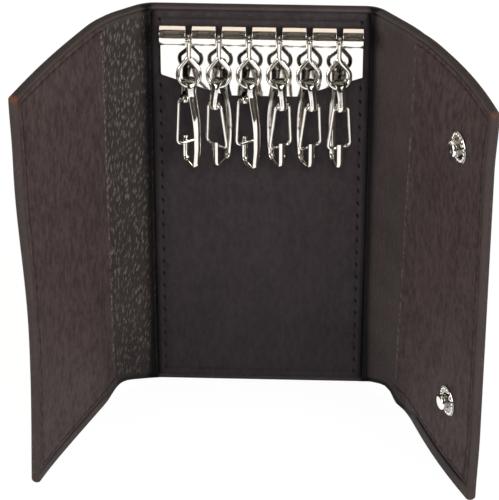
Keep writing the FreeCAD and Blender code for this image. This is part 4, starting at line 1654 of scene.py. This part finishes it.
@dataclass
class Hanger:
    """One hanging set: wire eye on the rod, strip hook in the eye and wire gate on the hook."""

    number: int
    x: float
    turn: float
    metal: Finish
    wire: float = 0.54
    wire_sides: int = 14
    wire_step: float = 0.3
    wire_painted_dark: float = 0.9
    loop: float = 1.05
    ring: float = 2.75
    neck: Point = (0.0, -0.55, -4.4)
    shoulder: float = -7.8
    ring_top: float = -9.1
    strand_bends: tuple[float, float] = (2.4, 2.4)
    lean: float = -14.0
    pivot_drop: float = 11.85
    head: float = 1.9
    knuckle: float = -4.5
    curl: float = 0.9
    belly: tuple[tuple[float, float], ...] = (
        (1.9, 0.0),
        (1.9, -1.6),
        (4.25, -9.2),
        (4.25, -16.8),
        (3.4, -22.3),
        (-1.9, -22.5),
        (-1.9, -15.2),
    )
    belly_bends: tuple[float, ...] = (6.0, 22.0, 12.0, 1.7, 1.5)
    strip: tuple[float, float] = (1.5, 0.8)
    strip_sides: int = 18
    strip_step: float = 0.35
    strip_painted_dark: float = 0.85
    crown: float = 0.234
    crown_width: float = 0.06
    nook_depth: float = 0.3
    nook_fade: float = 0.8
    nook_foot: float = -7.0
    nook_rise: float = 3.0
    widths: tuple[tuple[float, float], ...] = (
        (0.0, 1.4),
        (0.13, 1.4),
        (0.19, 1.7),
        (0.234, 2.05),
        (0.28, 1.85),
        (0.36, 1.55),
        (0.55, 1.35),
        (0.8, 1.2),
    )
    gate_half: tuple[Point, ...] = ((0.15, 0.0, 0.0), (1.95, 0.0, 0.0), (3.05, 0.0, -12.187))
    gate_bends: tuple[float, ...] = (0.9, 1.3, 1.3, 0.9)
    gate_wire: float = 0.45
    gate_lean: float = 4.47

    def eye_frame(self) -> Matrix:
        """Frame of the eye on the rod."""
        return Matrix.Translation((self.x, ROD_Y, ROD_Z)) @ Matrix.Rotation(math.radians(self.lean), 4, "X")

    def hook_frame(self) -> Matrix:
        """Frame of the hook in the eye."""
        spot = self.eye_frame() @ Vector((0, 0, -self.pivot_drop))
        return Matrix.Translation(spot) @ Matrix.Rotation(math.radians(self.turn), 4, "Z")

    def gate_frame(self) -> Matrix:
        """Frame of the gate on the hook's knuckle."""
        lean = Matrix.Rotation(math.radians(self.gate_lean), 4, "X")
        return self.hook_frame() @ Matrix.Translation((0, -self.head, self.knuckle)) @ lean

    def eye(self) -> Piece:
        """Wire eye: a loop round the rod, two crossing strands and a round ring.

        Returns:
            The object.
        """
        turns = np.radians(np.arange(90, 181, 9))
        path = [(0.0, self.loop * math.cos(t), self.loop * math.sin(t)) for t in turns]
        strand = [path[-1], self.neck, (self.ring, 0.0, self.shoulder), (self.ring, 0.0, self.ring_top)]
        lower = fillet(strand, self.strand_bends)
        quarter = np.radians(np.arange(0, 91, 7.5))
        drop = self.pivot_drop - self.ring
        arc = [(self.ring * math.cos(t), 0.0, -drop - self.ring * math.sin(t)) for t in quarter]
        half = np.concatenate([path, lower[1:-1], arc])
        other = half * np.array([-1, -1, 1])
        loop = even(np.concatenate([half, other[::-1][1:]]), self.wire_step)[:-1]
        points, faces = sweep(loop, circle(self.wire, self.wire_sides), True)
        # painted dark reflection on the back of the wire
        behind = (points - np.repeat(loop, self.wire_sides, axis=0))[:, 1] / self.wire
        painted_dark = self.wire_painted_dark * smoothstep((behind - 0.1) / 0.5)
        return self.hang(f"eye_{self.number}", "wire", (points, faces), self.eye_frame(), {"painted_dark": painted_dark})

    def hook(self) -> Piece:
        """Crowned strip hook: closed over the eye, wide in the belly and turned up at the tip.

        Returns:
            The object.
        """
        curl = [
            (0.0, -self.head + self.curl * math.cos(t), self.knuckle + self.curl * math.sin(t))
            for t in np.radians(np.arange(430, 179, -10))
        ]
        turns = np.radians(np.arange(10, 181, 10))
        over = [(0.0, -self.head * math.cos(t), self.head * math.sin(t)) for t in turns]
        belly = fillet([(0.0, y, z) for y, z in self.belly], self.belly_bends)
        path = even(np.concatenate([curl, over, belly[1:]]), self.strip_step)
        share = np.linspace(0, 1, len(path))
        scale = np.interp(share, *zip(*self.widths))
        section = circle(0.5, self.strip_sides) * np.array(self.strip)
        points, faces = sweep(path, section, False, (1.0, 0.0, 0.0), scale)
        # painted dark reflection where the head rides in the eye, and painted shade in the nook behind the
        # hook
        painted_share = np.repeat(bell(share - self.crown, self.crown_width), len(section))
        frame_here = self.hook_frame()
        behind = place(points, frame_here) - np.array(frame_here.translation)
        nook = smoothstep((behind[:, 1] - self.nook_depth) / self.nook_fade)
        nook *= smoothstep((behind[:, 2] - self.nook_foot) / self.nook_rise)
        painted_dark = self.strip_painted_dark * np.maximum(painted_share, nook)
        return self.hang(f"hook_{self.number}", "strip", (points, faces), frame_here, {"painted_dark": painted_dark})

    def gate(self) -> Piece:
        """Wire gate: a long bow that closes the mouth of the hook.

        Returns:
            The object.
        """
        corners = [(-x, y, z) for x, y, z in self.gate_half] + list(self.gate_half[::-1])
        path = even(fillet(corners, self.gate_bends), self.wire_step)
        shape = sweep(path, circle(self.gate_wire, self.wire_sides), False)
        return self.hang(f"gate_{self.number}", "wire", shape, self.gate_frame())

    def hang(self, body: str, kind: str, shape: Shape, spot: Matrix, marks: dict | None = None) -> Piece:
        """Piece in place, moving with its body.

        Args:
            body: body and CAD node of the piece.
            kind: what the piece is made of.
            shape: points and faces in the piece's own frame.
            spot: that frame.
            marks: numbers kept on the points.

        Returns:
            The object.
        """
        placed = (place(shape[0], spot), shape[1])
        piece = make_object(f"{body}_{kind}", placed, self.metal, sharp=40.0, marks=marks)
        return settle(piece, body, "nickel_plate", body)

    def build(self) -> list[Piece]:
        """The three pieces of the set."""
        return [self.eye(), self.hook(), self.gate()]


# Outlines of the turned parts of a snap, as radius and height
STUD = (
    *((0, 0.0), (3.95, 0.0), (4.05, 0.12), (4.05, 0.3), (3.9, 0.46), (3.5, 0.5), (3.1, 0.42), (2.3, 0.42)),
    *((1.95, 0.6), (1.85, 0.9), (1.85, 1.2), (1.95, 1.45), (2.08, 1.62), (2.1, 1.85), (2.05, 2.1)),
    *((1.9, 2.35), (1.6, 2.52), (1.2, 2.6), (0.9, 2.52), (0, 2.45)),
)
CAP = (
    *((0, -0.4), (1.25, -0.4), (1.25, 0.0), (4.9, 0.0), (5.0, 0.12), (5.0, 0.4), (4.85, 0.6), (4.2, 0.95)),
    *((3.2, 1.28), (2.0, 1.44), (1.0, 1.49), (0, 1.5)),
)
SOCKET = (
    *((2.85, 0.0), (4.5, 0.0), (4.6, 0.1), (4.6, 0.3), (4.45, 0.4), (3.75, 0.42), (3.6, 0.55), (3.6, 0.85)),
    *((3.5, 1.0), (2.85, 1.0)),
)
EYELET = (
    *((2.35, -1.9), (3.7, -1.9), (3.7, -1.6), (2.75, -1.6), (2.75, 1.02), (3.2, 1.02), (3.25, 1.15)),
    *((3.1, 1.28), (2.7, 1.3), (2.45, 1.22), (2.35, 1.0)),
)


@dataclass
class Snap:
    """One snap: stud and cap on the right flap, socket and eyelet on the left flap."""

    level: str
    up: float
    metal: Finish
    sides: int = 48
    hollow: float = 0.7
    hollow_width: float = 0.55
    stud_painted_dark: float = 0.8
    beads: int = 20
    bead_ring: float = 3.35
    bead_rise: float = 0.46

    def turned(self, part: str, outline: Sequence, spot: Matrix, body: str, painted_dark_share: float = 0.0) -> Piece:
        """One turned piece in place, with painted shade in the hollow between its flange and its head.

        Args:
            part: name of the part.
            outline: radius and height of its corners.
            spot: frame that it stands in.
            body: body that carries it.
            painted_dark_share: how dark the painted shade in the hollow is.

        Returns:
            The object.
        """
        points, faces = lathe(outline, self.sides)
        # painted shade in the hollow between the flange and the head
        marks = {"painted_dark": painted_dark_share * bell(points[:, 2] - self.hollow, self.hollow_width)}
        shape = (place(points, spot), faces)
        piece = make_object(f"{self.level}_{part}_turned", shape, self.metal, marks=marks)
        return settle(piece, body, "nickel_plate", f"{self.level}_snap_{part}")

    def beading(self, inner: Matrix) -> Piece:
        """Ring of beads on the stud's flange.

        Args:
            inner: frame of the stud.

        Returns:
            The object.
        """
        spots = []
        for t in np.arange(self.beads) * math.pi / (self.beads / 2):
            x, y = self.bead_ring * math.cos(t), self.bead_ring * math.sin(t)
            spot = inner @ Vector((x, y, self.bead_rise))
            out = inner.to_3x3() @ Vector((0, 0, 1))
            way = inner.to_3x3() @ Vector((-math.sin(t), math.cos(t), 0))
            spots.append((tuple(spot), tuple(out), tuple(way)))
        ring = BEAD.build(f"{self.level}_stud_beads", spots, self.metal)
        return settle(ring, "right_flap", "nickel_plate")

    def build(self) -> list[Piece]:
        """All the pieces of the snap.

        Returns:
            The objects.
        """
        inner = RIGHT.frame_on(STUD_REACH, self.up, False)
        outer = RIGHT.frame_on(STUD_REACH, self.up, True)
        left = LEFT.frame_on(SOCKET_REACH, self.up, True)
        return [
            self.turned("stud", STUD, inner, "right_flap", self.stud_painted_dark),
            self.turned("cap", CAP, outer, "right_flap"),
            self.turned("socket", SOCKET, left, "left_flap"),
            self.turned("eyelet", EYELET, left, "left_flap"),
            self.beading(inner),
        ]


# Studio


@dataclass(frozen=True)
class Lamp:
    """Soft square light, with its place and aim in metres and its power in watts."""

    name: str
    spot: Point
    aim: Point
    size: float
    power: float
    mirrored: bool

    def build(self) -> None:
        """Light in the scene, kept out of mirrors where it should not show in the metal."""
        light = bpy.data.lights.new(self.name, "AREA")
        light.shape = "SQUARE"
        light.size = self.size
        light.energy = self.power
        lamp = link(self.name, light)
        lamp.location = self.spot
        lamp.visible_glossy = self.mirrored
        lamp.rotation_euler = (Vector(self.aim) - Vector(self.spot)).to_track_quat("-Z", "Y").to_euler()


LAMPS = (
    Lamp("left_box", (-0.75, -0.55, 0.4), (0.0, -0.02, 0.05), 0.6, 5.2, True),
    Lamp("right_box", (0.75, -0.55, 0.45), (0.0, -0.02, 0.05), 0.6, 6.4, True),
    Lamp("front_fill", (0.1, -0.9, 0.75), (0.0, 0.0, 0.06), 0.5, 5.0, False),
)


@dataclass
class Studio:
    """White table, soft light and the photo's camera, in metres."""

    floor_size: tuple[float, float, float, float] = (-1.6, -0.5, 1.6, 1.8)
    floor_colour: str = "656565"
    floor_seen: float = 0.93
    white: str = "ffffff"
    room_colour: str = "fff1df"
    room_light: float = 0.3
    lens: float = 140.483
    sensor: float = 24.0
    shift: tuple[float, float] = (-0.0012, 0.02326)
    stand: Point = (0.01944, -0.64036, 0.46166)
    right: Point = (0.99940, 0.03461, 0.00019)
    up: Point = (-0.01926, 0.55160, 0.83389)
    back: Point = (0.02875, -0.83339, 0.55194)

    def floor(self) -> None:
        """Pale table top that stays white, in mirrors too, and keeps a soft shadow."""
        x0, y0, x1, y1 = self.floor_size
        mesh = bpy.data.meshes.new("table_top")
        mesh.from_pydata([(x0, y0, 0), (x1, y0, 0), (x1, y1, 0), (x0, y1, 0)], [], [(0, 1, 2, 3)])
        table = link("table_top", mesh)
        # matt laminate: an even white with a faint change of gloss
        made = bpy.data.materials.new("white_laminate")
        tree = empty_tree(made)
        spot = add_node(tree, COORDINATES).outputs["Object"]
        speck = add_node(tree, NOISE, {"Vector": spot, "Scale": 900.0, "Detail": 2.0})
        gloss = add_node(tree, RANGE, {"Value": speck, "To Min": 0.7, "To Max": 0.85})
        path = add_node(tree, "ShaderNodeLightPath").outputs
        seen = add_node(tree, MATH, {0: path["Is Camera Ray"], 1: self.floor_seen}, operation="MULTIPLY")
        glow = add_node(tree, MATH, {0: seen, 1: path["Is Glossy Ray"]}, operation="MAXIMUM")
        top = add_node(
            tree,
            PRINCIPLED,
            {
                "Base Color": srgb(self.floor_colour),
                "Roughness": gloss,
                "Specular IOR Level": 0.1,
                "Emission Color": srgb(self.white),
                "Emission Strength": glow,
            },
        )
        add_node(tree, OUTPUT, {"Surface": top})
        mesh.materials.append(made)

    def world(self) -> None:
        """Bright room above and behind, dark and cluttered room behind the camera."""
        world = bpy.data.worlds.new("studio")
        bpy.context.scene.world = world
        tree = empty_tree(world)
        way = add_node(tree, COORDINATES).outputs["Generated"]
        parts = add_node(tree, "ShaderNodeSeparateXYZ", {0: way})
        deep = parts.outputs["Y"]
        ramp = {"Value": deep, "From Min": -0.24, "From Max": -0.06, "To Min": 0.0, "To Max": 1.0}
        bright = add_node(tree, RANGE, ramp, interpolation_type="SMOOTHSTEP")
        clutter = add_node(tree, NOISE, {"Vector": way, "Scale": 5.0, "Detail": 3.0, "Roughness": 0.7})
        clutter = add_node(
            tree,
            RANGE,
            {"Value": clutter, "From Min": 0.4, "From Max": 0.7, "To Min": 0.01, "To Max": 0.22},
        )
        bright = add_node(tree, MATH, {0: bright, 1: clutter}, operation="MAXIMUM")
        path = add_node(tree, "ShaderNodeLightPath").outputs
        # mirrors see the room in full, and other surfaces take a share of its light
        share = {"Value": path["Is Glossy Ray"], "To Min": self.room_light, "To Max": 1.0}
        lit = add_node(tree, RANGE, share)
        front = add_node(tree, MATH, {0: bright, 1: lit}, operation="MULTIPLY")
        room = add_node(tree, "ShaderNodeBackground", {"Color": srgb(self.room_colour), "Strength": front})
        plain = add_node(tree, "ShaderNodeBackground", {"Color": srgb(self.white), "Strength": 1.0})
        mixed = add_node(tree, "ShaderNodeMixShader", {0: path["Is Camera Ray"], 1: room, 2: plain})
        add_node(tree, "ShaderNodeOutputWorld", {"Surface": mixed})

    def camera(self) -> None:
        """Camera at the photo's place and angle."""
        data = bpy.data.cameras.new("photo_camera")
        data.sensor_fit = "VERTICAL"
        data.sensor_height = self.sensor
        data.lens = self.lens
        data.shift_x, data.shift_y = self.shift
        data.clip_start = 0.05
        data.dof.use_dof = False
        camera = link("photo_camera", data)
        turn = Matrix((self.right, self.up, self.back)).transposed().to_4x4()
        camera.matrix_world = Matrix.Translation(self.stand) @ turn
        bpy.context.scene.camera = camera

    def build(self) -> None:
        """Everything round the case."""
        self.floor()
        self.world()
        for lamp in LAMPS:
            lamp.build()
        self.camera()
        bpy.context.scene.view_settings.view_transform = "Standard"


def main() -> None:
    """Build the case, dress it and set the studio round it."""
    logging.basicConfig(level=logging.INFO, format="%(message)s")
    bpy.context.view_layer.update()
    metal, drawn = NICKEL.material(), WIRE_NICKEL.material()
    leather = Case(*(f.material() for f in (GRAINED, SMOOTH, THREAD, BROWN_THREAD, CENTRE)))
    groups = [leather.build(), Rail(metal).build()]
    for number, (x, turn) in enumerate(zip(EYE_PLACES, HOOK_TURNS), start=1):
        groups.append(Hanger(number, x, turn, drawn).build())
    for level, up in SNAPS.items():
        groups.append(Snap(level, up, metal).build())
    for group in groups:
        for piece in group:
            LOG.info("%s: %d faces", piece.name, len(piece.data.polygons))
    Studio().build()


if __name__ == "__main__":
    main()
